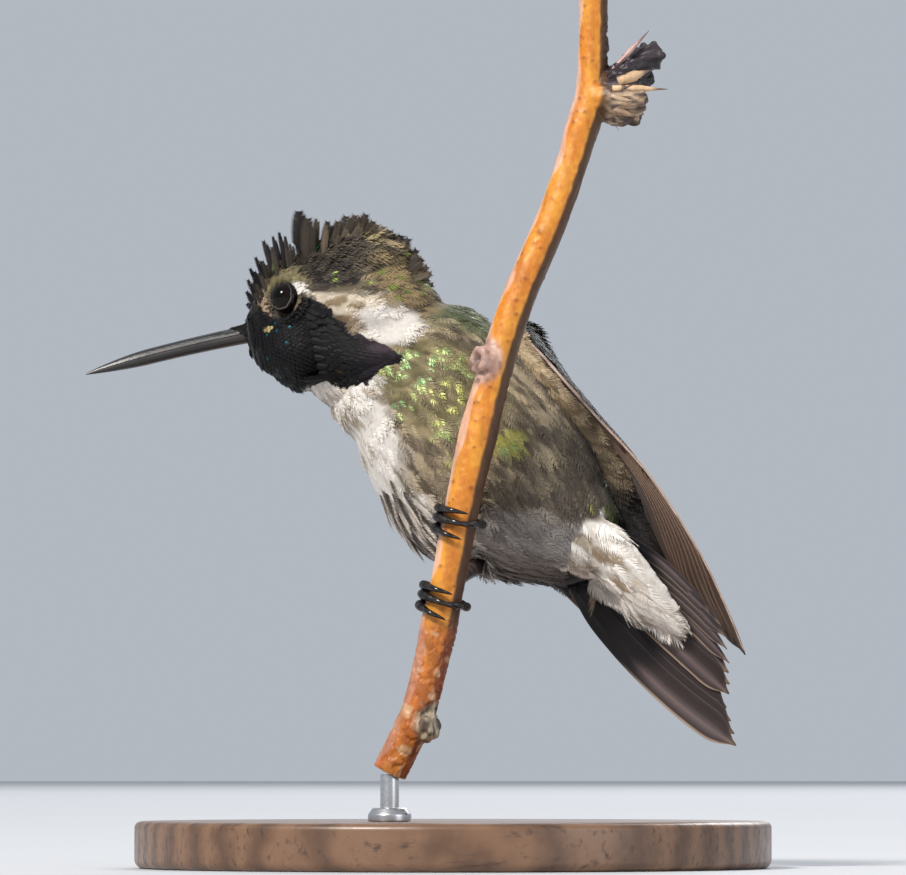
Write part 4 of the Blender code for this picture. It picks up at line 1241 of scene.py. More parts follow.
def build_eye(sign, name):
    """A dark glossy ball with a slightly fuller cornea, and the bare ring of its lids."""
    centre, look, tall, wide = eye_frame(sign)
    rings, count = 28, 48
    polar = np.repeat(np.arange(rings + 1) / rings * math.pi, count)[:, None]
    turn = np.tile(circle(count), rings + 1)[:, None]
    cornea = 1.0 + 0.012 * np.exp(-((polar / 0.6) ** 2))
    out = look * np.cos(polar) + (wide * np.cos(turn) + tall * np.sin(turn)) * np.sin(polar)
    pts = centre + out * (EYE_RADIUS - 0.02) * cornea
    polar = polar[:, 0]
    iris = mix(tone(7, 5, 5), tone(20, 12, 9), ease(0.42, 0.5, polar) * ease(1.1, 0.75, polar))
    eye = Finish(
        "eye_dark", Roughness=0.07, IOR=1.38, Specular_IOR_Level=0.16, Coat_Weight=0.15, Coat_Roughness=0.02
    )
    paint = eye.attribute("plumage")
    eye.set("Base Color", eye.stained(paint, (0.004, 0.003, 0.003), eye.noise(1500.0), 0.4, 0.7, 0.5))
    faces = [rings_to_faces(rings + 1, count)]
    ball = make_object(f"eyeball_{name}", pts, faces, eye.material, "eye", plumage=iris)
    tidy_mesh(ball, weld=1e-7)
    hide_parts(f"eye_{name}")

    count, levels = 72, len(LID_RINGS)
    pts = []
    for turn in circle(count):
        c, s = math.cos(turn), math.sin(turn)
        aperture = 1.30 + 0.13 * abs(s) ** 1.5 + 0.02 * math.sin(turn * 9)
        for r, h, puff in LID_RINGS:
            radius = aperture * r
            beads = 0.012 * puff * math.sin(turn * 26 + r * 20)
            depth = math.sqrt(EYE_RADIUS ** 2 - min(radius, 1.6) ** 2)
            pts.append(centre + (wide * c + tall * s) * radius + look * (depth + h + beads))
    last = (count - 1) * levels
    close = np.array([[last + k, last + k + 1, k + 1, k] for k in range(levels - 1)])
    level = np.tile(np.arange(levels), count)
    sine = np.sin(np.repeat(circle(count), levels))
    ringed = glazed(
        np.tile(tone(34, 28, 27), (len(pts), 1)),
        # painted highlight: a pale line along the lower lid's rim
        (tone(150, 136, 124), ease(0.5, 0.0, np.abs(level - 1.6) / 1.6) * ease(0.1, -0.7, sine)),
        (tone(28, 24, 24), ease(3.0, 4.5, level)),
    )
    lid = Finish("lid_skin", Roughness=0.5, Subsurface_Weight=0.05)
    paint = lid.attribute("plumage")
    lid.set("Base Color", lid.stained(paint, (0.02, 0.018, 0.018), lid.noise(3800.0), 0.45, 0.8, 0.6))
    lid.bump(lid.noise(6000.0, 3.0), 0.00004, 0.8)
    faces = [rings_to_faces(count, levels, closed=False), close]
    ring = make_object(f"eyelid_{name}", pts, faces, lid.material, "head_feathers", plumage=ringed)
    thick = ring.modifiers.new("thick", "SOLIDIFY")
    thick.thickness, thick.offset = 0.08 * MM, -1.0


def lay_lids(coat, tree):
    """Rings of tiny feathers round the lids, pointing away from the eye."""
    rng = coat.rng
    tiny = coat.kinds(4, 5, open_=0.0, ragged=0.08, camber=0.3)
    for sign in (1, -1):
        centre, look, tall, wide = eye_frame(sign)
        spokes, reaches = [], []
        for row, r in enumerate((1.38, 1.52, 1.68, 1.86, 2.08, 2.32)):
            count = 34 + 4 * row
            for j in range(count):
                turn = (j + 0.5 * (row % 2)) / count * math.tau + rng.normal(0, 0.03)
                spokes.append(wide * math.cos(turn) + tall * math.sin(turn) * 1.06), reaches.append(r)
        spokes, reaches = np.array(spokes), np.array(reaches)
        starts = centre + spokes * reaches[:, None] + look * 5
        found, places, ups = hits(tree, starts, np.tile(-look, (len(starts), 1)))
        spokes, off = spokes[found], reaches[found] - 1.42
        high = (places - centre) @ look
        want = np.minimum(np.maximum(high + 0.08, 0.78 - 0.85 * off), high + 0.9)
        roots = places + look * (want - high)[:, None]
        ways = unit(spokes + lie_of_coat(places, unit(ups)) * (0.35 + 0.5 * off)[:, None])
        ups = unit(look + unit(ups) * 0.8)
        coat.lay(
            "coat_head", tiny, roots, square_to(ways, ups), ups,
            (0.62 + 0.15 * off) * rng.normal(1, 0.06, len(roots)), 0.46, math.radians(4), 0.15,
            plumage(roots + spokes * 0.3), twist=0.08,
        )


BILL_START, BILL_LENGTH = 6.4, 18.7
BILL_HEIGHT, BILL_WIDTH, BILL_DROOP = 1.9, 1.8, 0.95


def hump(x, at, wide):
    """1 at a place, falling smoothly to 0 at both sides."""
    return math.exp(-(((x - at) / wide) ** 2))


def bill_centre(t):
    return np.array((BILL_START + BILL_LENGTH * t, 0.0, -0.6 - BILL_DROOP * t * t))


def build_bill():
    """Two slender horny blades with a tomial line, a nostril slit under its flap, and lighter lines along the
    gape and the ridge painted as highlights.
    """
    horn = Finish("bill_horn", Roughness=0.34, Specular_IOR_Level=0.6, Coat_Weight=0.25, Coat_Roughness=0.25)
    worn = horn.noise(30.0, 5.0, vector=horn.place((30.0, 400.0, 400.0)))
    paint = horn.attribute("plumage")
    horn.set("Base Color", horn.stained(paint, (0.075, 0.066, 0.062), worn, 0.5, 0.8, 0.35))
    horn.set("Roughness", horn.remap(worn, 0.3, 0.8, 0.26, 0.5))
    horn.bump(worn, 0.00005, 0.6)
    rings, count = 90, 25
    for name, sign in (("bill_upper", 1), ("bill_lower", -1)):
        rows, paints = [], []
        for t in np.arange(rings + 1) / rings:
            thin = (1 - 0.22 * t) * (1 - max(0.0, (t - 0.62) / 0.38) ** 1.8 * 0.93)
            at = bill_centre(t) + (0, 0, sign * 0.035)
            for turn in np.linspace(0, math.pi, count):
                c, s = math.cos(turn), math.sin(turn)
                y, z = BILL_WIDTH / 2 * thin * c, BILL_HEIGHT / 2 * thin * s
                if sign > 0:
                    flare = ease(0.2, 0.0, abs(t - 0.12)) * ease(0.5, 0.2, abs(turn / math.pi * 2 - 1) - 0.2)
                    y *= 1 - 0.14 * hump(abs(c), 0.8, 0.12) * hump(t, 0.12, 0.09) + 0.03 * flare
                    z *= 1 - 0.05 * hump(abs(c), 0.45, 0.2) * (1 - t)
                rows.append(at + (0.0, y * (1 + 0.035 * hump(s, 0, 0.12)), sign * z))
                # painted highlights: lighter streaks along the gape and a faint line along the ridge
                gape_highlight = 0.5 * hump(s, 0.1, 0.14) * (0.4 + 0.6 * math.sin(9 * t) ** 2)
                light = min(1.0, 0.15 * hump(c, 0, 0.35) + gape_highlight)
                value = mix(tone(22, 20, 21), tone(96, 90, 88), light)
                paints.append(mix(value, tone(60, 48, 42), 0.4 * (sign < 0) * ease(0.25, 0.0, t)))
        faces = [rings_to_faces(rings + 1, count), fans(count, (0, rings * count))]
        pts = to_world(rows, HEAD, HEAD_AXES)
        made = make_object(name + "_horn", pts, faces, horn.material, "horn", plumage=paints)
        tidy_mesh(made)
        made.data.set_sharp_from_angle(angle=math.radians(50))
        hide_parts(name)


def lay_bill_base(coat):
    """Tiny black feathers running out onto the root of the bill."""
    rng = coat.rng
    tiny = coat.kinds(4, 5, open_=0.0, ragged=0.1, camber=0.3)
    roots, ups, sizes = [], [], []
    for i in range(34):
        a = 9.0 - 0.11 * i
        centre = bill_centre(max(0.0, (a - BILL_START) / BILL_LENGTH))
        swell = 0.02 + 0.85 * ease(8.0, 6.0, a)
        for j in range(-6, 7):
            turn = math.radians(j * 21 + rng.normal(0, 3))
            if abs(math.degrees(turn)) > 22 + ease(9.3, 6.6, a) * 130:
                continue
            out, up = math.sin(turn), math.cos(turn)
            roots.append((a, (BILL_WIDTH / 2 + swell) * out, centre[2] + (BILL_HEIGHT / 2 + swell) * up))
            ups.append((0.35, out, up))
            sizes.append(0.5 + 0.35 * ease(8.8, 6.8, a))
    roots, ups, sizes = np.array(roots), unit(ups), np.array(sizes)
    ways = square_to(np.tile((-1.0, 0.0, 0.0), (len(roots), 1)), ups)
    paint = dyed(len(roots), tone(16, 14, 15), tone(44, 38, 38), 0.4)
    coat.lay_on_head("coat_face", tiny, roots, ways, ups, sizes, sizes * 0.62, math.radians(8), 0.1, paint)


# ---- flight feathers ----

# places across a vane, from one rim (-1) over the shaft to the other
ACROSS = np.array((-1.0, -0.93, -0.72, -0.4, -0.1, -0.03, 0.03, 0.1, 0.4, 0.72, 0.93, 1.0))
VANE_THICK = 0.1


class Vanes:
    """Closed thin vanes with a raised shaft, gathered into one piece."""

    def __init__(self):
        self.verts, self.faces, self.colours, self.combs, self.base = [], [], [], [], 0

    def take(self, rings, colours, combs=None):
        """A tube of rings (m, count, 3); a flat one, whose rings fold back on themselves, has combs."""
        m, count = rings.shape[:2]
        if combs is None:
            combs = np.zeros(rings.shape)
            caps = fans(count, (self.base, self.base + (m - 1) * count))
        else:
            k = np.arange(count // 2 - 1)
            rim = np.stack([k, k + 1, count - 2 - k, count - 1 - k], axis=-1)
            caps = np.concatenate([rim + self.base, rim + self.base + (m - 1) * count])
        self.faces += [rings_to_faces(m, count, base=self.base), caps]
        self.verts.append(rings.reshape(-1, 3)), self.combs.append(combs.reshape(-1, 3))
        self.colours.append(colours.reshape(-1, 3))
        self.base += m * count

    def add(self, path, over, up, left, right, paint, arch=0.1, seed=0, thick=VANE_THICK, pale_from=-1.0):
        """path (m, 3) is the shaft; over and up (m, 3) lie across and off the vane; left and right (m)
        are the two vanes' breadths; paint(along, across) gives a colour for each point, and the shaft is
        pale from pale_from of its length on."""
        m = len(path)
        step = np.linalg.norm(np.diff(path, axis=0), axis=1)
        run = np.concatenate([[0], np.cumsum(step)])
        t = (run / run[-1])[:, None]
        side = np.where(ACROSS < 0, left[:, None], right[:, None])
        nicks = grain(np.stack([run / 0.35, np.full(m, seed), np.zeros(m)], 1), 1.0, 61)[:, None]
        y = ACROSS[None] * side * (1 - 0.015 * nicks * (np.abs(ACROSS) > 0.9))
        # the barbs sweep forward, so the rim lies further along than the shaft
        ahead = 0.5 * np.abs(y) * np.minimum(1.0, (1 - t) * 6)
        tangent = unit(np.gradient(path, axis=0))
        height = -arch * (y / max(1e-6, float(side.max()))) ** 2 * side.max() * 0.5
        shaft = np.exp(-((ACROSS / 0.06) ** 2))[None] * 0.05 * (1 - 0.7 * t)
        half = thick / 2 * (1 - 0.85 * (np.abs(ACROSS) > 0.95))[None] + shaft
        body = path[:, None] + over[:, None] * y[..., None] + tangent[:, None] * ahead[..., None]
        top, low = (body + up[:, None] * (height + h)[..., None] for h in (half, -half))
        across, along = np.concatenate([ACROSS, ACROSS[::-1]])[None], np.repeat(t, 2 * len(ACROSS), axis=1)
        across = np.broadcast_to(across, along.shape)
        quill = np.exp(-((across / 0.05) ** 2)) * ease(pale_from - 0.1, pale_from + 0.1, along)
        colour = paint(along, across)
        colour = mix(colour, tone(150, 124, 104) * 0.75 + colour * 0.25, 0.55 * quill * (1 - 0.5 * along))
        y = np.concatenate([y, y[:, ::-1]], axis=1)
        combs = np.stack([run[:, None] - np.abs(y) * 0.9, y, np.full(y.shape, float(seed))], axis=-1)
        self.take(np.concatenate([top, low[:, ::-1]], axis=1), colour, combs)

    def build(self, name, material, node):
        made = make_object(
            name, np.concatenate(self.verts), self.faces, material, "flight_feathers",
            plumage=np.concatenate(self.colours), comb=np.concatenate(self.combs),
        )
        tidy_mesh(made)
        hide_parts(node)


def vane_finish():
    made = Finish("flight_vanes", Sheen_Weight=0.08, Sheen_Roughness=0.4, Specular_IOR_Level=0.34)
    comb = made.attribute("comb", "Vector")
    barbs = made.node(
        "TexWave", "Fac", [("bands_direction", "X")], Vector=comb, Scale=2.6, Distortion=1.2, Detail=2.0,
        Detail_Scale=1.5,
    )
    blotch = made.noise(1.0, 4.0, vector=made.node("Mapping", Vector=comb, Scale=(0.35, 1.6, 1.0)))
    paint = made.attribute("plumage")
    groove = made.blend(paint, (0.66, 0.64, 0.62), 1.0, "MULTIPLY")
    lined = made.blend(paint, groove, made.remap(barbs, 0.2, 0.9, 0.3, 0.0))
    made.set("Base Color", made.stained(lined, (1.3, 1.24, 1.2), blotch, 0.45, 0.7, 0.35, "MULTIPLY"))
    made.set("Roughness", made.remap(blotch, 0.3, 0.7, 0.42, 0.6))
    made.bump(barbs, 0.00002, 0.4)
    return made.material


# the leading edge from shoulder to tip, in the body's own coordinates; the right wing's last part differs
WING_ROUTE = [
    (9.4, 8.2, 4.6), (6.7, 9.9, 5.2), (-4.5, 10.7, 5.1), (-14.0, 11.5, 4.8), (-23.5, 10.2, 4.6),
    (-29.6, 8.3, 4.4), (-35.3, 5.9, 4.2),
]
RIGHT_TIP = [(-14.0, 10.5, 4.8), (-23.5, 8.7, 4.7), (-29.4, 6.0, 4.6), (-34.4, 3.4, 4.5)]
WING_WIDTH = 9.2
COVERT_DEPTH = 0.3


class Wing:
    """The folded wing's surface: places on it are given by (t from shoulder to tip, breadth from the
    leading edge)."""

    def __init__(self, sign):
        stations = WING_ROUTE if sign > 0 else WING_ROUTE[:-4] + RIGHT_TIP
        self.edge = curve_through(to_world(np.array(stations) * (1, sign, 1), BODY, BODY_AXES), 16)
        self.t = np.linspace(0, 1, len(self.edge))
        run = unit(np.gradient(self.edge, axis=0))
        pitch = np.radians(15.0 + 47.0 * np.clip(1 - self.t / 0.7, 0, 1))[:, None]
        over = BODY_AXES[2][None] * np.sin(pitch) - BODY_AXES[1][None] * sign * np.cos(pitch)
        over = square_to(over, run)
        rise = np.sin(math.pi / 2 * np.minimum(1.0, self.t / 0.25))
        fall = 1 - np.clip((self.t - 0.4) / 0.65, 0, 1) ** 2.5
        self.run, self.over, self.out = run, over, unit(np.cross(run, over)) * sign
        self.wide = np.maximum(0.8, WING_WIDTH * (0.3 + 0.7 * rise) * fall)
        self.thick = 0.65 + 1.5 * np.clip(1 - self.t / 0.5, 0, 1)

    def pick(self, values, t):
        """The values, one or three for each station, at t."""
        if values.ndim == 1:
            return np.interp(t, self.t, values)
        return np.stack([np.interp(t, self.t, column) for column in values.T], axis=-1)

    def place(self, t, w, h=0.0):
        """w in millimetres from the leading edge, h towards the wing's upper side."""
        w, h = np.asarray(w)[..., None], np.broadcast_to(h, np.shape(w))[..., None]
        return self.pick(self.edge, t) + self.pick(self.over, t) * w + self.pick(self.out, t) * h


VANE_BROWN = tone(98, 72, 58)


def primary_paint(k):
    deep, first = tone(44, 32, 29), k == 0
    rim_tone, rim_most = (tone(206, 176, 158), 0.7) if first else (tone(160, 136, 118), 0.5)

    def paint(along, across):
        streak = np.exp(-(((across - 0.25) / 0.12) ** 2)) * ease(0.2, 0.5, along)
        return glazed(
            VANE_BROWN,
            (deep, ease(0.1, 0.9, 0.5 + 0.5 * across) * 0.55 + 0.25 * ease(0.7, 1.0, along)),
            (tone(150, 120, 100), 0.5 * streak),
            (rim_tone, rim_most * (ease(-0.55, -0.95, across) * ease(1.0, 0.86, along))),
            (tone(180, 150, 128), 0.35 * ease(0.85, 0.98, across)),
        )

    return paint


def tertial_paint(along, across):
    c = mix(tone(62, 50, 48), tone(30, 26, 32), ease(-1, 1, across))
    return mix(c, tone(128, 108, 92), 0.6 * ease(0.86, 1.0, np.maximum(np.abs(across), along * 0.98)))


def secondary_paint(along, across):
    c = mix(tone(70, 56, 48), tone(36, 29, 29), ease(-1, 1, across))
    return mix(c, tone(176, 150, 122), 0.75 * ease(0.72, 0.98, np.maximum(across, along ** 3)))


def vane_shape(along, root, full, blunt_from, power=1.6, blunt=0.55):
    """A flight feather's breadth along its length: narrow at the root and rounded at the tip."""
    return ease(root, full, along) * (1 - ease(blunt_from, 1.0, along) ** power) ** blunt


def lay_flight_feathers(wing, vanes):
    """Ten primaries from the leading edge back, then the tertials at the elbow and the secondaries."""
    along = np.linspace(0, 1, 40)

    def put(t0, t1, lane_of, height, shape, lead, trail, paint, arch, seed):
        t = t0 + (t1 - t0) * along
        wide = wing.pick(wing.wide, t)
        lane = lane_of(wide)
        path, over, out = wing.place(t, lane, height), wing.pick(wing.over, t), wing.pick(wing.out, t)
        lead = lead * np.maximum(0.05, shape)
        vanes.add(path, over, out, lead, trail(wide, lane, shape), paint, arch, seed)

    for k in range(10):

        def primary_lane(wide):
            gone = 1 - (1 - along) ** 1.2
            lane = mix(0.35 + 0.34 * k, np.minimum(wide * (0.12 + 0.055 * k), 0.5 + 0.5 * k), gone)
            if k:
                return mix(lane, wide * min(0.86, 0.4 + 0.09 * k), ease(0.55, 1.0, along))
            return mix(lane, 0.42, ease(0.5, 1.0, along))

        def primary_trail(wide, lane, shape):
            return np.minimum(2.7, np.maximum(0.3, wide * 1.02 - lane)) * np.maximum(0.04, shape)

        put(
            0.12 + 0.014 * k, 1.0 - 0.036 * k, primary_lane, 0.26 - 0.052 * k,
            vane_shape(along, -0.06, 0.10, 0.87), 0.75 if k else 0.34, primary_trail,
            primary_paint(k), 0.12, k,
        )
    for k in range(7):
        put(
            0.05 + 0.01 * k, 0.50 - 0.036 * k,
            lambda wide: wide * mix(0.45 + 0.03 * k, 0.93 - 0.045 * (6 - k), ease(0.0, 1.0, along)),
            0.24 + 0.05 * k, vane_shape(along, -0.08, 0.12, 0.75), 0.95,
            lambda wide, lane, shape: 1.3 * np.maximum(0.05, shape), tertial_paint, 0.15, 20 + k,
        )
    for k in range(6):
        put(
            0.34 + 0.02 * k, 0.86 - 0.055 * k,
            lambda wide: wide * 0.88 + (0.3 + 0.5 * k) * ease(0.0, 0.5, along) + 0.2 * along,
            0.34 + 0.1 * k, vane_shape(along, -0.06, 0.15, 0.72, 1.5, 0.6), 1.0,
            lambda wide, lane, shape: np.maximum(0.05, shape), secondary_paint, 0.12, 60 + k,
        )


def lay_forewing(wing, vanes):
    """The bony leading edge with the outermost primary's shaft, and the padded forewing under the coverts."""
    t = np.linspace(0.0, 0.985, 90)
    rim = wing.place(t, np.full(len(t), 0.12), 0.12)
    radius = (0.24 * (1 - 0.75 * ease(0.0, 0.6, t)) * ease(-0.02, 0.04, t))[:, None, None]
    turn = circle(10)[None, :, None]
    spokes = wing.pick(wing.over, t)[:, None] * np.cos(turn) + wing.pick(wing.out, t)[:, None] * np.sin(turn)
    tube = rim[:, None] + radius * spokes
    vanes.take(tube, mix(tone(212, 194, 182), tone(136, 112, 98), grain(tube.reshape(-1, 3), 0.6, 71)))

    t, turn = np.linspace(0.0, 0.43, 34), circle(20)[None]
    wide = wing.pick(wing.wide, t) * 0.93
    half = np.maximum(0.05, (wing.pick(wing.thick, t) / 2 - COVERT_DEPTH) * ease(0.45, 0.2, t))
    w, h = wide[:, None] * (0.5 + 0.49 * np.cos(turn)) + 0.1, half[:, None] * np.sin(turn)
    shade = mix(tone(40, 34, 34), VANE_BROWN, ease(0.12, 0.36, t))
    vanes.take(wing.place(np.broadcast_to(t[:, None], w.shape), w, h), np.repeat(shade, turn.size, axis=0))


def lay_wing_coverts(wing, coat, piece):
    """Small feathers in rows over the upper and the under side of the forewing."""
    rng = coat.rng
    loose = coat.kinds(5, 9, open_=0.0, ragged=0.08)
    for upper in (True, False):
        face, gap, last = (1, 0.46, 0.50) if upper else (-1, 0.62, 0.27)
        ts, ws = [], []
        row, t_now = 0, 0.012
        while t_now < last:
            wide = float(wing.pick(wing.wide, t_now)) * 0.95
            rim = 0.2 if upper and t_now > 0.1 else 0.12
            for w_now in np.arange(rim + 0.5 * gap * (row % 2), wide, gap):
                ts.append(t_now + rng.normal(0, 0.002)), ws.append(w_now + rng.normal(0, 0.07))
            t_now += 0.0145
            row += 1
        t, w = np.clip(np.array(ts), 0, 1), np.array(ws)
        n = len(t)
        wide = wing.pick(wing.wide, t)
        q = np.clip(2 * w / wide - 1, -0.99, 0.99)
        bulge = np.sqrt(1 - q * q)
        half = np.maximum(0.1, wing.pick(wing.thick, t) / 2 - 0.26) * bulge
        ledge = (0.42 * ease(0.52, 0.34, t) * ease(3.5, 1.0, w)) * upper
        roots = wing.place(t, w, face * (half + ledge))
        out, over, run = (wing.pick(values, t) for values in (wing.out, wing.over, wing.run))
        ups = unit(out * face * bulge[:, None] + over * (q * np.clip(2 * half / wide, 0, 1))[:, None] * 2)
        ways = unit(run + over * (0.12 + 0.1 * rng.normal(0, 1, n))[:, None])
        length = 1.7 + 2.6 * ease(0.12, 0.46, t) * (w > 0.25 * wide) + 0.6 * ease(0.1, 0.3, t)
        if upper:
            green = mix(tone(62, 70, 40), tone(44, 42, 34), grain(roots, 0.9, 83))
            colour = mix(tone(24, 23, 34), green, ease(1.0, 2.4, w) * ease(0.0, 0.4, grain(roots, 1.8, 81)))
        else:
            colour = mix(tone(104, 86, 70), tone(62, 52, 46), grain(roots, 1.2, 82))
            colour = mix(colour, tone(150, 122, 104), 0.7 * ease(0.7, 0.1, w) * ease(0.5, 0.3, t))
        gleam = np.where((rng.random(n) < 0.1) & upper, 0.8, 0.0)
        paint = dyed(n, colour, tone(84, 68, 58), 0.4, gleam, tone(66, 84, 70))
        coat.lay(
            piece, loose, roots, square_to(ways, ups), ups, length, 0.95 + 0.18 * length, math.radians(2.2),
            0.012, paint, twist=0.08,
        )


def build_wing(sign, name, coat, material):
    wing, vanes = Wing(sign), Vanes()
    lay_flight_feathers(wing, vanes)
    lay_forewing(wing, vanes)
    vanes.build(name + "_vanes", material, name)
    lay_wing_coverts(wing, coat, f"coat_{name}")


TAIL_HALF, TAIL_ARCH = 5.8, 0.9
# each tail feather from the bird's right to its left: where its tip is off the middle, its length, its
# place off the vane's plane, where its root and its middle are off the middle, and its pale edge's strength
TAIL_FEATHERS = (
    (-4.1, 25.7, -0.26, -4.6, -8.3, 0.9),
    (-3.4, 24.7, -0.18, -3.75, -7.2, 0.3),
    (-2.7, 23.5, -0.10, -2.9, -6.1, 0.3),
    (-2.0, 22.2, -0.02, -2.05, -5.0, 0.3),
    (-0.2, 21.6, -0.36, -1.2, -1.34, 0.9),
    (0.8, 21.0, -0.28, -0.35, 0.4, 0.3),
    (1.9, 20.2, -0.20, 0.5, 2.14, 0.3),
    (3.4, 19.8, -0.44, 1.4, 3.9, 0.9),
    (5.1, 18.9, -0.48, 1.85, 5.05, 0.6),
    (6.2, 17.9, -0.52, 2.3, 6.2, 0.6),
    (6.9, 16.8, -0.56, 2.75, 7.35, 0.6),
    (7.1, 15.1, -0.60, 3.2, 8.5, 0.6),
)
RIGHT_FEATHERS, BROAD_FEATHERS = 5, 7


def tail_paint(right_half, pale_edge):
    def paint(along, across):
        # the basal half is near-black, partly the feathers' own dark and partly painted shadow cast by the
        # body; the stripe and the pale edge start past it
        stripe = np.exp(-(((across + 0.1) / 0.32) ** 2)) * ease(0.42, 0.58, along)
        return glazed(
            mix(tone(15, 13, 19), tone(54, 45, 46), ease(0.42, 0.58, along)),
            (tone(134, 120, 122), 0.6 * stripe),
            (tone(206, 184, 160), pale_edge * (ease(0.72, 0.97, -across) * ease(0.35, 0.62, along))),
            (tone(170, 146, 118), ease(0.93, 1.0, along) * (0.25 if right_half else 0.6)),
        )

    return paint


def build_tail(material):
    vanes = Vanes()
    v = np.linspace(0, 1, 44)
    left, up = TAIL_AXES[1:]
    for i, (tip, length, level, root, middle, pale_edge) in enumerate(TAIL_FEATHERS):
        out = root * (1 - v) ** 2 + middle * 2 * v * (1 - v) + tip * v ** 2
        back = -1.2 + (length + 1.2) * v
        u = out / (TAIL_HALF + 1.5 * np.sin(math.pi * v) - 1.2 * v ** 3)
        bend = TAIL_ARCH * (0.4 + 0.6 * v)
        lift = 0.35 + level - bend * np.clip(u, -1.1, 1.1) ** 2
        path = to_world(np.stack([-back, out, lift], axis=1), TAIL_AT, TAIL_AXES)
        run = unit(np.gradient(path, axis=0))
        over = square_to(unit(left[None] - up[None] * (2 * bend * u / TAIL_HALF)[:, None]), run)
        off = unit(np.cross(run, over))
        off = off * np.sign(off @ up)[:, None]
        slim = 1.0 if i < BROAD_FEATHERS else 0.52
        shape = slim * np.maximum(0.04, vane_shape(v, -0.1, 0.22, 0.80, blunt=0.6))
        right_half = i < RIGHT_FEATHERS
        lo, hi = (1.35, 2.3) if right_half else (2.3, 1.35)
        paint = tail_paint(right_half, pale_edge)
        vanes.add(path, over, off, lo * shape, hi * shape, paint, 0.1, 40 + i, thick=0.09, pale_from=0.5)
    vanes.build("tail_vanes", material, "tail")


# ---- twig, feet and stand ----

TWIG_ROUTE = [
    (-6.7, -7.6, 10.2), (-4.4, -8.2, 15.0), (-3.0, -8.5, 18.9), (-0.9, -8.6, 28.6), (1.2, -8.6, 39.3),
    (3.7, -8.4, 50.0), (6.7, -8.0, 59.8), (10.6, -7.3, 69.1), (13.2, -6.8, 76.8), (14.7, -6.4, 83.2),
    (15.0, -6.2, 96.0),
]
TWIG_TOP, TWIG_FOOT = 96.0, 10.5
# (place along the twig, height, length)
SWELLINGS = ((0.27, 0.16, 0.02), (0.46, 0.2, 0.03), (0.84, 0.2, 0.04))
SPINE = curve_through(TWIG_ROUTE, 8)


def twig_radius(t):
    t = np.asarray(t, float)
    base = line_of(t, (0, 1.85), (0.5, 1.85), (1, 1.5))
    return base + sum(high * np.exp(-(((t - at) / wide) ** 2)) for at, high, wide in SWELLINGS)


def twig_at(z):
    """(centre, direction, radius) of the twig at a height."""
    i = int(np.argmin(np.abs(SPINE[1:-1, 2] - z))) + 1
    run = unit(SPINE[i + 1] - SPINE[i - 1])
    return SPINE[i] + run * (z - SPINE[i][2]) / run[2], run, float(twig_radius(i / (len(SPINE) - 1)))


def twig_coordinates(points):
    """(height along the twig, angle round it, distance from its centre)."""
    spine = curve_through(TWIG_ROUTE, 24)
    run = unit(np.gradient(spine, axis=0))
    near = np.argmin(np.linalg.norm(points[:, None] - spine[None], axis=2), axis=1)
    away = points - spine[near]
    along = np.einsum("nk,nk->n", away, run[near])
    away = away - run[near] * along[:, None]
    return spine[near][:, 2] + along, np.arctan2(away[:, 1], away[:, 0]), np.linalg.norm(away, axis=1)


def rod(points, radii, count=10):
    """(points, quads, triangles) of a closed round bar through some points; its ends' centres come last."""
    points, radii = np.asarray(points, float), np.asarray(radii, float)
    side = None
    rings = []
    for p, r, d in zip(points, radii, unit(np.gradient(points, axis=0))):
        side = unit(np.cross(d, (0.31, 0.83, 0.46))) if side is None else side
        side = unit(side - d * side.dot(d))
        turn = circle(count)[:, None]
        rings.append(p + r * (side[None] * np.cos(turn) + np.cross(d, side)[None] * np.sin(turn)))
    n = len(points)
    j = np.arange(count)
    k, last = (j + 1) % count, (n - 1) * count
    caps = [(k, j, np.full(count, n * count)), (last + j, last + k, np.full(count, n * count + 1))]
    pts = np.concatenate(rings + [points[:1], points[-1:]])
    return pts, rings_to_faces(n, count), np.concatenate([np.stack(cap, 1) for cap in caps])


def peg(start, way, size, count, steps, *knots, first=0.0):
    """A rod from start along way, its radius size times a part given by knots of (place along it, part)."""
    along = np.linspace(first, 1, steps)
    return rod(start + way * along[:, None], size * line_of(along, *knots), count)


def gathered(shapes):
    """Several (points, quads, triangles) as one: (points, faces)."""
    pts, quads, tris, base = [], [], [], 0
    for p, q, t in shapes:
        pts.append(p), quads.append(q + base), tris.append(t + base)
        base += len(p)
    return np.concatenate(pts), [np.concatenate(quads), np.concatenate(tris)]


# the leaf scar and the broken knob: (height, way out)
SCAR, KNOB = (53.4, unit((-1.0, -0.75, 0.25))), (14.9, unit((0.9, -0.5, 0.1)))
STUB_Z = 81.6
# the torn stub's lumps: (way, reach, radius)
STUB_LUMPS = (
    ((1.0, -0.1, 0.1), 5.6, 2.3), ((1.0, 0.1, -0.2), 5.6, 2.0), ((0.8, 0.0, 0.58), 9.2, 1.5),
    ((0.76, 0.1, 0.66), 8.6, 1.3), ((1.0, -0.35, 0.05), 6.2, 1.1), ((0.9, 0.3, 0.4), 7.4, 1.45),
    ((0.75, -0.25, 0.62), 5.8, 1.2),
)
# (height, angle round the twig)
BUDS = (
    (73.2, 200), (69.6, 235), (66.0, 250), (44.5, 210), (33.4, 300), (24.0, 225), (20.2, 330), (89.5, 215),
    (61.0, 330), (17.6, 200),
)
# the stub's long splinters: (start, end, radius, colour)
SPLINTERS = (
    ((2.5, -1.2, 3.2), (6.3, -1.5, 7.3), 0.3, (196, 160, 152)),
    ((2.4, -2.4, 1.1), (8.3, -1.2, 1.1), 0.42, (226, 190, 150)),
    ((3.0, -2.1, 1.8), (6.5, -1.7, 3.1), 0.62, (206, 172, 136)),
    ((2.2, -2.3, 0.3), (5.6, -1.9, -0.6), 0.4, (196, 168, 138)),
    ((2.4, -1.9, -1.0), (5.2, -1.5, -2.0), 0.34, (170, 142, 118)),
)


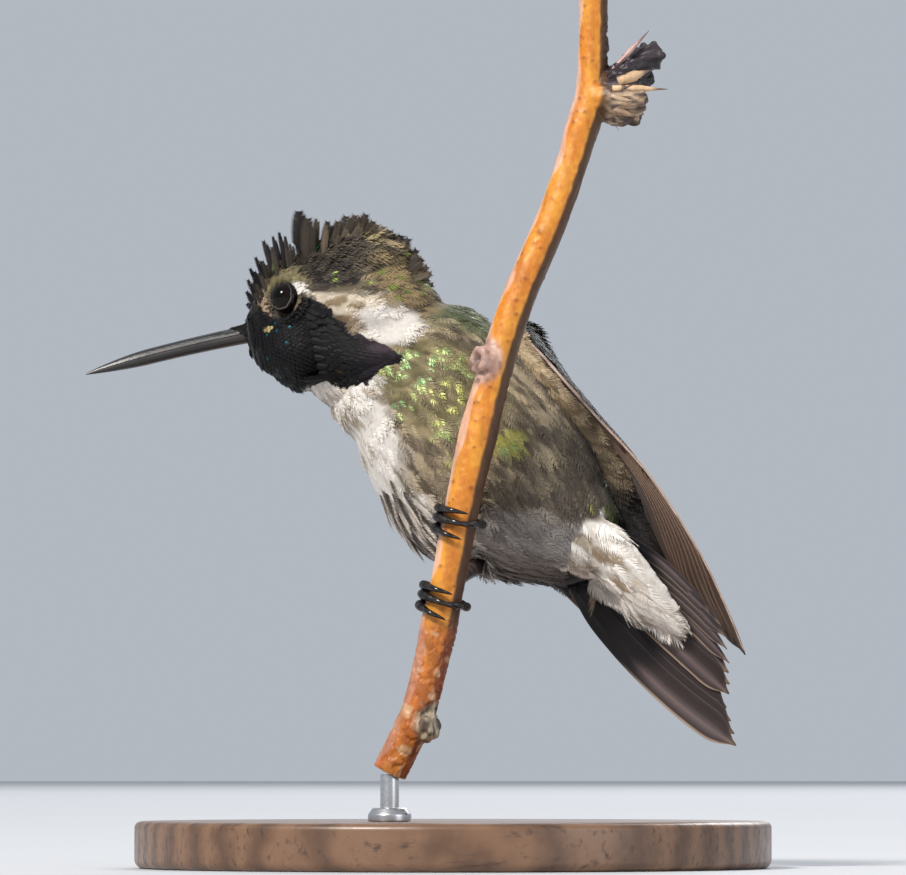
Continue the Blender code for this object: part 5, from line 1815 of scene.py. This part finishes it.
def twig_stem():
    """The remeshed stem with its scar, knob, stub and buds: (points, normals, triangles) in millimetres."""
    spine = curve_through(TWIG_ROUTE, 12)
    shapes = [rod(spine, twig_radius(np.linspace(0, 1, len(spine))), 40)]
    for (z, out), size, reach in ((SCAR, 1.55, 2.3), (KNOB, 1.6, 2.6)):
        centre, _, radius = twig_at(z)
        knots = ((0, 1.25), (0.5, 1.02), (0.92, 0.85), (1, 0.55))
        shapes.append(peg(centre + out * radius * 0.3, out * reach, size, 18, 8, *knots))
    for way, reach, size in STUB_LUMPS:
        knots = ((0, 0.8), (0.4, 1), (0.8, 0.95), (1, 0.72))
        shapes.append(peg(twig_at(STUB_Z)[0], unit(way) * reach, size, 12, 7, *knots, first=0.05))
    for z, turn in BUDS:
        centre, _, radius = twig_at(z)
        out = unit((math.cos(math.radians(turn)), math.sin(math.radians(turn)), 0.35))
        knots = ((0, 1.0), (0.25, 0.95), (0.5, 0.8), (0.75, 0.55), (1, 0.2))
        shapes.append(peg(centre + out * radius * 0.8, out * 0.42, 0.42, 10, 5, *knots))
    rough = make_object("twig_rough", *gathered(shapes), None)
    rough.data.transform(Matrix.Scale(1 / MM, 4))
    remeshed(rough, 0.17)
    relaxed(rough, 2)
    mesh = with_modifiers(rough)
    arrays = mesh_arrays(mesh)
    bpy.data.meshes.remove(mesh)
    return arrays


def build_bark(rng):
    """The twig's bark: the stem with its relief and its colours."""
    p, normals, tris = twig_stem()
    z, turn, reach = twig_coordinates(p)
    unbent = np.stack([np.cos(turn) * 1.8, np.sin(turn) * 1.8, z], axis=1)

    def lumps(size, seed, stretch=(1, 1, 1), at=unbent):
        return grain(at * stretch, size, seed)

    def bell(distance, wide, at=0.0):
        return np.exp(-(((distance - at) / wide) ** 2))

    def tip_of(mark, reach_):
        centre, _, radius = twig_at(mark[0])
        return centre + mark[1] * (radius * 0.3 + reach_)

    # pores and scales on the stem
    stem = ease(2.45, 2.15, reach)
    pores, pore_dark = np.zeros(len(p)), np.zeros(len(p))
    for _ in range(230):
        pz, pa, size = rng.uniform(10, 95), rng.uniform(-math.pi, math.pi), rng.uniform(0.1, 0.24)
        da = (turn - pa + math.pi) % math.tau - math.pi
        d = np.hypot(da * 1.8 / (size * 1.5), (z - pz) / size)
        pores += 0.09 * bell(d, 1) - 0.07 * bell(d, 0.4)
        pore_dark = np.maximum(pore_dark, bell(d, 0.75))
    scaly = ease(27.5, 24.0, z)
    flakes = lumps(0.55, 93, (1.0, 1.0, 0.8))
    lift = 0.10 * (lumps(0.7, 91, (1, 1, 0.35)) - 0.5) + 0.06 * (lumps(0.33, 92) - 0.5) + pores * stem
    lift = lift - 0.12 * scaly * stem * (np.abs(flakes - 0.5) < 0.08)
    # the scar's and the knob's hollow ends, and the stub's torn fibres
    scar_tip, knob_tip, from_stub = tip_of(SCAR, 2.2), tip_of(KNOB, 2.5), p - twig_at(STUB_Z)[0]
    d_scar, d_knob = np.linalg.norm(p - scar_tip, axis=1), np.linalg.norm(p - knob_tip, axis=1)
    on_scar, on_knob = ease(3.3, 2.2, d_scar), ease(3.0, 1.9, d_knob)
    on_stub = ease(1.3, 2.4, from_stub[:, 0]) * ease(9.5, 8.5, np.abs(from_stub[:, 2]))
    lift = lift - 0.75 * bell(d_scar, 0.62) + 0.16 * bell(d_scar, 0.3, 1.15) - 0.3 * bell(d_knob, 0.8)
    lift = lift + on_scar * 0.28 * (lumps(0.5, 94, at=p) - 0.5)
    lift = lift + on_knob * 0.5 * (lumps(0.42, 95, (1, 1, 0.5), p) - 0.5)
    torn = 0.75 * (lumps(0.42, 96, (0.35, 1, 1), p) - 0.5) + 0.5 * (lumps(0.9, 97, at=p) - 0.5)
    p = p + normals * (lift + on_stub * torn)[:, None]

    # the +X side darkened: partly darker bark, partly painted shade
    shade_and_dark_bark = ease(0.40, 0.56, np.cos(turn) + 0.08 * (lumps(0.9, 108) - 0.5))
    # the pale pinkish film down the lit -X side: partly peeling skin, partly painted highlight
    film_and_highlight = np.cos(turn - math.radians(186)) + 0.08 * ease(72.0, 60.0, z)
    film_and_highlight = ease(0.90, 1.02, film_and_highlight + 0.55 * (lumps(1.3, 101, (1, 1, 0.4)) - 0.42))
    fibre, rings = lumps(0.4, 106, (0.3, 1, 1), p), lumps(0.4, 105, (1, 1, 0.4), p)
    pale_torn = mix(tone(186, 160, 132), tone(70, 54, 48), ease(0.3, 0.62, fibre))
    dark_torn = mix(tone(58, 48, 56), tone(24, 19, 24), fibre)
    torn = mix(pale_torn, dark_torn, ease(-0.6, 0.8, from_stub[:, 2] + 0.4 * from_stub[:, 1]))
    cut = ease(0.12, 0.0, np.abs(z - TWIG_TOP)) * (np.abs(normals[:, 2]) > 0.8)
    cut = np.clip(cut + (z < TWIG_FOOT) * (normals[:, 2] < -0.6), 0, 1)
    # painted shade on the scar's lower side
    scar_underside_shade = on_scar * ease(0.2, -0.6, (p - scar_tip)[:, 2]) * ease(0.45, 0.7, lumps(0.5, 104, at=p))
    amber = 0.6 * lumps(1.1, 98, (1, 1, 0.3)) + 0.4 * lumps(0.4, 99)
    wood = glazed(
        mix(tone(220, 148, 44), tone(204, 122, 30), ease(0.35, 0.7, amber)),
        (tone(122, 48, 16), 0.85 * pore_dark * stem),
        (tone(34, 17, 9), 0.9 * shade_and_dark_bark),
        (tone(226, 186, 166), 0.7 * film_and_highlight),
        (mix(tone(186, 92, 34), tone(120, 52, 26), flakes), 0.6 * scaly),
        (tone(198, 158, 120), 0.8 * scaly * ease(0.66, 0.78, lumps(0.8, 102))),
        (mix(tone(214, 178, 164), tone(150, 112, 96), lumps(0.6, 103, at=p)), on_scar),
        # painted shade in the scar's pit and on its underside
        (tone(52, 34, 30), 0.85 * bell(d_scar, 0.75)),
        (tone(80, 54, 42), 0.6 * scar_underside_shade),
        (mix(tone(176, 160, 136), tone(84, 70, 58), ease(0.3, 0.7, rings)), on_knob),
        (torn, on_stub),
        (mix(tone(214, 190, 150), tone(180, 150, 108), lumps(0.25, 107, at=p)), cut),
        (tone(120, 84, 54), cut * ease(0.45, 0.3, reach)),
    )
    bark = Finish("twig_bark", Roughness=0.5, Specular_IOR_Level=0.45, Coat_Weight=0.12, Coat_Roughness=0.4)
    grainy = bark.noise(1.0, 6.0, vector=bark.place((900.0, 900.0, 260.0)))
    rich = bark.stained(bark.attribute("plumage"), (0.6, 0.5, 0.42), grainy, 0.42, 0.72, 0.75, "MULTIPLY")
    bark.set("Base Color", bark.stained(rich, (0.09, 0.035, 0.012), bark.noise(3400.0, 2.0), 0.66, 0.78, 0.6))
    bark.set("Roughness", bark.remap(grainy, 0.3, 0.7, 0.36, 0.66))
    bark.bump(grainy, 0.00009, 0.7)
    made = make_object("perch_bark", p, [tris], bark.material, "bark", plumage=wood)
    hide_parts("perch_twig")
    return bark.material


def build_splinters(rng, material):
    """The torn stub's splinters: a few long ones and a brush of fine ones."""
    stub = twig_at(STUB_Z)[0]
    shapes, tones = [], []
    for start, end, r, value in SPLINTERS:
        start, end = np.array(start), np.array(end)
        shape = peg(stub + start, end - start, r, 8, 7, (0, 0.8), (0.5, 1.0), (0.75, 0.42), (1, 0.08))
        shapes.append(shape)
        along = np.append(np.repeat(np.linspace(0, 1, 7), 8), (0, 0))
        pale = np.tile(tone(*value), (len(along), 1))
        tones.append(mix(pale, tone(74, 50, 58), 0.85 * ease(0.66, 0.86, along)))
    steps = np.linspace(0, 1, 5)[:, None]
    for _ in range(64):
        way = unit((rng.uniform(0.5, 1.0), rng.uniform(-0.5, 0.5), rng.uniform(-0.45, 0.85)))
        start = stub + way * rng.uniform(2.2, 4.2) + rng.normal(0, 0.45, 3)
        reach = rng.uniform(1.0, 3.0) * (1.15 if way[2] > 0.2 else 0.8)
        sway = rng.normal(0, 0.22, 3)
        radius = rng.uniform(0.1, 0.2) * (1 - 0.9 * steps[:, 0])
        shapes.append(rod(start + way * reach * steps + sway * steps ** 2, radius, 5))
        dark = (start - stub)[2] > 0.6
        ends = (tone(40, 32, 38), tone(92, 74, 66)) if dark else (tone(206, 184, 156), tone(120, 96, 76))
        tones.append(np.tile(mix(*ends, rng.random()), (len(shapes[-1][0]), 1)))
    make_object("perch_splinters", *gathered(shapes), material, "bark", plumage=np.concatenate(tones))


TOE_RADIUS, TARSUS_RADIUS, GAP = 0.46, 0.55, 0.15
# each foot's height on the twig and its tilt in degrees
FEET = {"left": (37.3, 7.0), "right": (28.9, -8.0)}
# each toe: (start above the hub, rise, sweep round the twig in degrees, sense)
TOES = [(0.75, -0.5, 200, 1), (0.0, -1.1, 226, 1), (-0.85, -1.7, 196, 1), (-0.4, -0.4, 188, -1)]
# where the legs leave the body: (station, left, up)
LEG_ROOTS = {"left": (6.0, 3.6, -7.0), "right": (6.6, -3.4, -7.6)}
TOE_SCALES, SHANK_SCALES = 13, 9
HORNY = tone(40, 36, 36)


def scaled_tones(dark, light, ridges, count, most=1.0, sharp=2):
    """A rod's colours, light on its ridges, with horny ends."""
    ridges = np.repeat(ridges, count)
    return np.concatenate([mix(dark, light, ridges ** sharp * most), np.tile(HORNY, (2, 1))])


def build_feet():
    """Scaly toes wound round the twig, each ending in a curved claw, and the short shanks."""
    skin = Finish("foot_skin", Roughness=0.4, Specular_IOR_Level=0.3)
    paint = skin.attribute("plumage")
    skin.set("Base Color", skin.stained(paint, (0.12, 0.1, 0.09), skin.noise(3000.0), 0.55, 0.8, 0.5))
    skin.bump(skin.noise(4200.0, 3.0), 0.00005, 0.8)
    horn = Finish("claw_horn", Roughness=0.2, Specular_IOR_Level=0.35, Coat_Weight=0.3)
    dark, light = (0.006, 0.005, 0.005), (0.03, 0.024, 0.02)
    horn.set("Base Color", horn.stained(dark, light, horn.noise(1800.0), 0.4, 0.7))
    for side, (height, tilt) in FEET.items():
        centre, run, radius = twig_at(height)
        back = unit(np.array((0.0, 1.0, 0.0)) - run * run[1])
        around = np.cross(run, back)
        around = -around if around[0] > 0 else around
        reach = radius + GAP + TOE_RADIUS
        toes, claws, tones = [], [], []
        t = np.linspace(0, 1, 60)
        claw = np.clip((t - 0.68) / 0.32, 0, 1)
        off = (reach + 0.5 * np.sin(math.pi * claw) - 0.22 * claw)[:, None]
        ridges = np.abs(np.sin(math.pi * t * TOE_SCALES))
        girth = TOE_RADIUS * 0.97 * (1 + 0.05 * ridges + 0.06 * np.cos(math.tau * t * 4))
        girth = girth * np.where(t > 0.6, 1 - 0.25 * (t - 0.6) / 0.12, 1)
        toe, tip = t <= 0.72, t >= 0.66
        point = np.maximum(0.03, TOE_RADIUS * 0.86 * (1 - (t[tip] - 0.66) / 0.34) ** 0.6)
        for start, drop, sweep, sense in TOES:
            turn = np.radians(sweep * t) * sense
            rise = start * (0.35 + 0.65 * np.minimum(1.0, t * 3)) + drop * t
            rise = rise - math.tan(math.radians(tilt)) * np.sin(turn)
            spoke = back[None] * np.cos(turn)[:, None] + around[None] * np.sin(turn)[:, None]
            path = centre + run[None] * rise[:, None] + spoke * off
            toes.append(rod(path[toe], girth[toe], 16))
            tones.append(scaled_tones(tone(11, 9, 10), tone(50, 43, 42), ridges[toe], 16, 0.5, 4))
            claws.append(rod(path[tip], point, 12))
        hub = centre + back * (reach + 0.25)
        steps = np.linspace(-1, 1, 13)
        bulge = np.sqrt(np.maximum(0.03, 1 - steps ** 2))
        pad = rod(hub + run[None] * (1.2 * steps)[:, None], 0.6 * bulge, 16)
        toes.append(pad), tones.append(np.tile(tone(24, 20, 20), (len(pad[0]), 1)))
        tones = np.concatenate(tones)
        foot = make_object(f"foot_{side}_toes", *gathered(toes), skin.material, "horn", plumage=tones)
        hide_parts(f"foot_{side}")
        make_object(f"foot_{side}_claws", *gathered(claws), horn.material, "horn")

        station, out, up = LEG_ROOTS[side]
        i = min(TORSO_LAST, int(round(station * 6)))
        hip = TORSO_CENTRES[i] + TORSO_AXES[i][1] * out + TORSO_AXES[i][2] * up
        end = hub + unit(hip - hub) * 0.5
        path = curve_through([hip, (hip + end) / 2 + (0.0, 0.3, 0.3), end], 12)
        t = np.linspace(0, 1, len(path))
        ridges = np.abs(np.sin(math.pi * t * SHANK_SCALES))
        shape = rod(path, (TARSUS_RADIUS + 0.5 * (1 - t) ** 2) * (1 + 0.05 * ridges), 16)
        value = scaled_tones(tone(40, 34, 34), tone(84, 74, 72), ridges, 16)
        shank = make_object(f"leg_{side}_shank", *gathered([shape]), skin.material, "horn", plumage=value)
        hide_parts(f"leg_{side}")


def lathe(name, profile, at, count, material, slot):
    """A turned solid: (radius, height) pairs from the axis round to the axis, or a closed ring."""
    turn = circle(count)[None]
    radius, height = np.array(profile, float).T[..., None]
    shape = (at[0] + radius * np.cos(turn), at[1] + radius * np.sin(turn), height + 0 * turn)
    faces = [rings_to_faces(len(profile), count)]
    made = make_object(name, np.stack(shape, axis=-1).reshape(-1, 3), faces, material, slot)
    tidy_mesh(made, weld=1e-7, bridge=min(radius[0, 0], radius[-1, 0]) > 0)
    made.data.shade_smooth()
    made.data.set_sharp_from_angle(angle=math.radians(38))
    return made


def rounded(corners, radius, steps=6):
    """A (radius, height) profile with its inner corners rounded."""
    pts = [np.array(c, float) for c in corners]
    out = [pts[0]]
    for a, b, c in zip(pts, pts[1:], pts[2:]):
        p, q = b + unit(a - b) * radius, b + unit(c - b) * radius
        for s in np.linspace(0, 1, steps):
            out.append((1 - s) ** 2 * p + 2 * s * (1 - s) * b + s * s * q)
    return out + [pts[-1]]


def build_stand():
    wood = Finish("stand_walnut", Roughness=0.38, Coat_Weight=0.35, Coat_Roughness=0.25)
    rings = wood.node(
        "TexWave", "Fac", [("wave_type", "BANDS"), ("bands_direction", "Y")], Vector=wood.place(), Scale=90.0,
        Distortion=7.0, Detail=4.0, Detail_Scale=0.9, Detail_Roughness=0.6,
    )
    pores = wood.noise(1.0, 3.0, vector=wood.place((160.0, 2400.0, 900.0)))
    tint = wood.blend((0.105, 0.052, 0.027), (0.205, 0.108, 0.058), rings)
    wood.set("Base Color", wood.stained(tint, (0.045, 0.02, 0.011), pores, 0.56, 0.72, 0.85))
    wood.set("Roughness", wood.remap(pores, 0.4, 0.7, 0.34, 0.55))
    wood.bump(pores, 0.00004, 0.5)
    steel = Finish("stand_brushed", Metallic=1.0, Roughness=0.28)
    lines = steel.noise(1.0, 3.0, vector=steel.place((900.0, 900.0, 14000.0)))
    steel.set("Base Color", steel.blend((0.5, 0.5, 0.52), (0.68, 0.68, 0.69), lines))
    steel.set("Roughness", steel.remap(lines, 0.3, 0.7, 0.22, 0.38))
    _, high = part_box("stand_base")
    r, top = high.x / MM, high.z / MM
    profile = rounded([(0, 0), (r - 0.5, 0), (r, 0.6), (r, top - 0.4), (r - 0.5, top), (0, top)], 0.38)
    base = lathe("stand_base_disc", profile, (0, 0), 192, wood.material, "stand_wood")
    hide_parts("stand_base")
    foot = TWIG_ROUTE[0]
    low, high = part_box("stand_rod")
    z0, z1 = low.z / MM - 0.12, high.z / MM + 0.55
    profile = rounded([(0, z0), (1.0, z0), (1.0, z1), (0, z1)], 0.12)
    post = lathe("stand_rod_bar", profile, foot, 48, steel.material, "stand_metal")
    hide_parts("stand_rod")
    low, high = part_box("stand_collar")
    z0, z1 = low.z / MM, high.z / MM
    profile = rounded([(0.99, z0 - 0.13), (2.3, z0 - 0.13), (2.3, z0 + 0.6), (1.8, z1), (0.99, z1)], 0.14)
    ring = lathe("stand_collar_ring", profile, foot, 64, steel.material, "stand_metal")
    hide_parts("stand_collar")


# ---- room ----


def link(name, data, at, aim):
    """An object that looks from one place to another."""
    obj = bpy.data.objects.new(name, data)
    obj.location = at
    obj.rotation_euler = (Vector(aim) - obj.location).to_track_quat("-Z", "Y").to_euler()
    bpy.context.scene.collection.objects.link(obj)
    return obj


# (name, place, breadth, power, colour), in metres and watts
LIGHTS = (
    ("key", (-1.26, -1.65, 1.86), 0.66, 81.0, (1.0, 0.96, 0.9)),
    ("fill", (2.1, -1.65, 0.75), 1.8, 14.0, (0.93, 0.96, 1.0)),
    ("back", (0.75, 2.25, 1.65), 1.8, 36.0, (1.0, 1.0, 1.0)),
)
SKY, SKY_STRENGTH = (0.80, 0.86, 0.95, 1.0), 0.56


def build_room():
    scene = bpy.context.scene
    floor = Finish("studio_floor", Roughness=0.75)
    floor.set("Base Color", floor.blend((0.52, 0.53, 0.55), (0.56, 0.57, 0.59), floor.noise(9.0)))
    pts = np.array([(-1, -1, 0), (1, -1, 0), (1, 1, 0), (-1, 1, 0)]) * 4000.0 - (0, 0, 0.02)
    ground = make_object("studio_floor", pts, [np.array([[0, 1, 2, 3]])], floor.material)
    scene.world = bpy.data.worlds.new("studio")
    scene.world.use_nodes = True
    sky = scene.world.node_tree.nodes["Background"]
    sky.inputs["Color"].default_value = SKY
    sky.inputs["Strength"].default_value = SKY_STRENGTH
    for name, at, size, power, colour in LIGHTS:
        data = bpy.data.lights.new(name, "AREA")
        data.shape, data.size, data.energy, data.color = "DISK", size, power, colour
        link(name, data, at, (0.0, 0.0, 0.045))
    data = bpy.data.cameras.new("camera")
    data.sensor_width, data.lens = 36.0, 297.0
    data.clip_start, data.clip_end = 0.01, 50.0
    scene.camera = link("camera", data, (0.0, -0.7992, 0.0111), (0, 0, 0.046))
    scene.view_settings.view_transform = "Standard"


def main():
    coat = Coat(np.random.default_rng(11))
    build_room()
    build_stand()
    rng = np.random.default_rng(5)
    build_splinters(rng, build_bark(rng))
    build_feet()
    build_bill()
    for sign, name in ((1, "left"), (-1, "right")):
        build_eye(sign, name)
    points, normals, tris, tree = grow_skin()
    lay_body_coat(coat, points, normals, tris)
    lay_gorget(coat, tree)
    lay_flaps(coat, tree)
    lay_crest(coat)
    lay_breast_locks(coat, tree)
    lay_throat(coat)
    for sign in (1, -1):
        lay_shoulder(coat, tree, sign)
    lay_lids(coat, tree)
    lay_bill_base(coat)
    vanes = vane_finish()
    for sign, name in ((1, "wing_left"), (-1, "wing_right")):
        build_wing(sign, name, coat, vanes)
    build_tail(vanes)
    plain = feather_finish("coat_body")
    compact = feather_finish("coat_gorget", rough=0.58, gleam_rough=0.3, sheen=0.0, metal=0.5, gloss=0.2)
    covert = feather_finish("coat_covert", rough=0.5, sheen=0.02, gloss=0.25)
    on_head = {
        "coat_gorget": compact,
        "coat_face": compact,
        "coat_crest": feather_finish("coat_crown", rough=0.6, sheen=0.0, gloss=0.22),
        "coat_head": feather_finish("coat_short", sheen=0.06, gloss=0.24),
    }
    finish_of = {"coat_wing_left": covert, "coat_wing_right": covert, **on_head}
    coat.build(
        lambda name: finish_of.get(name, plain),
        lambda name: "head_feathers" if name in on_head else "body_feathers",
    )


main()
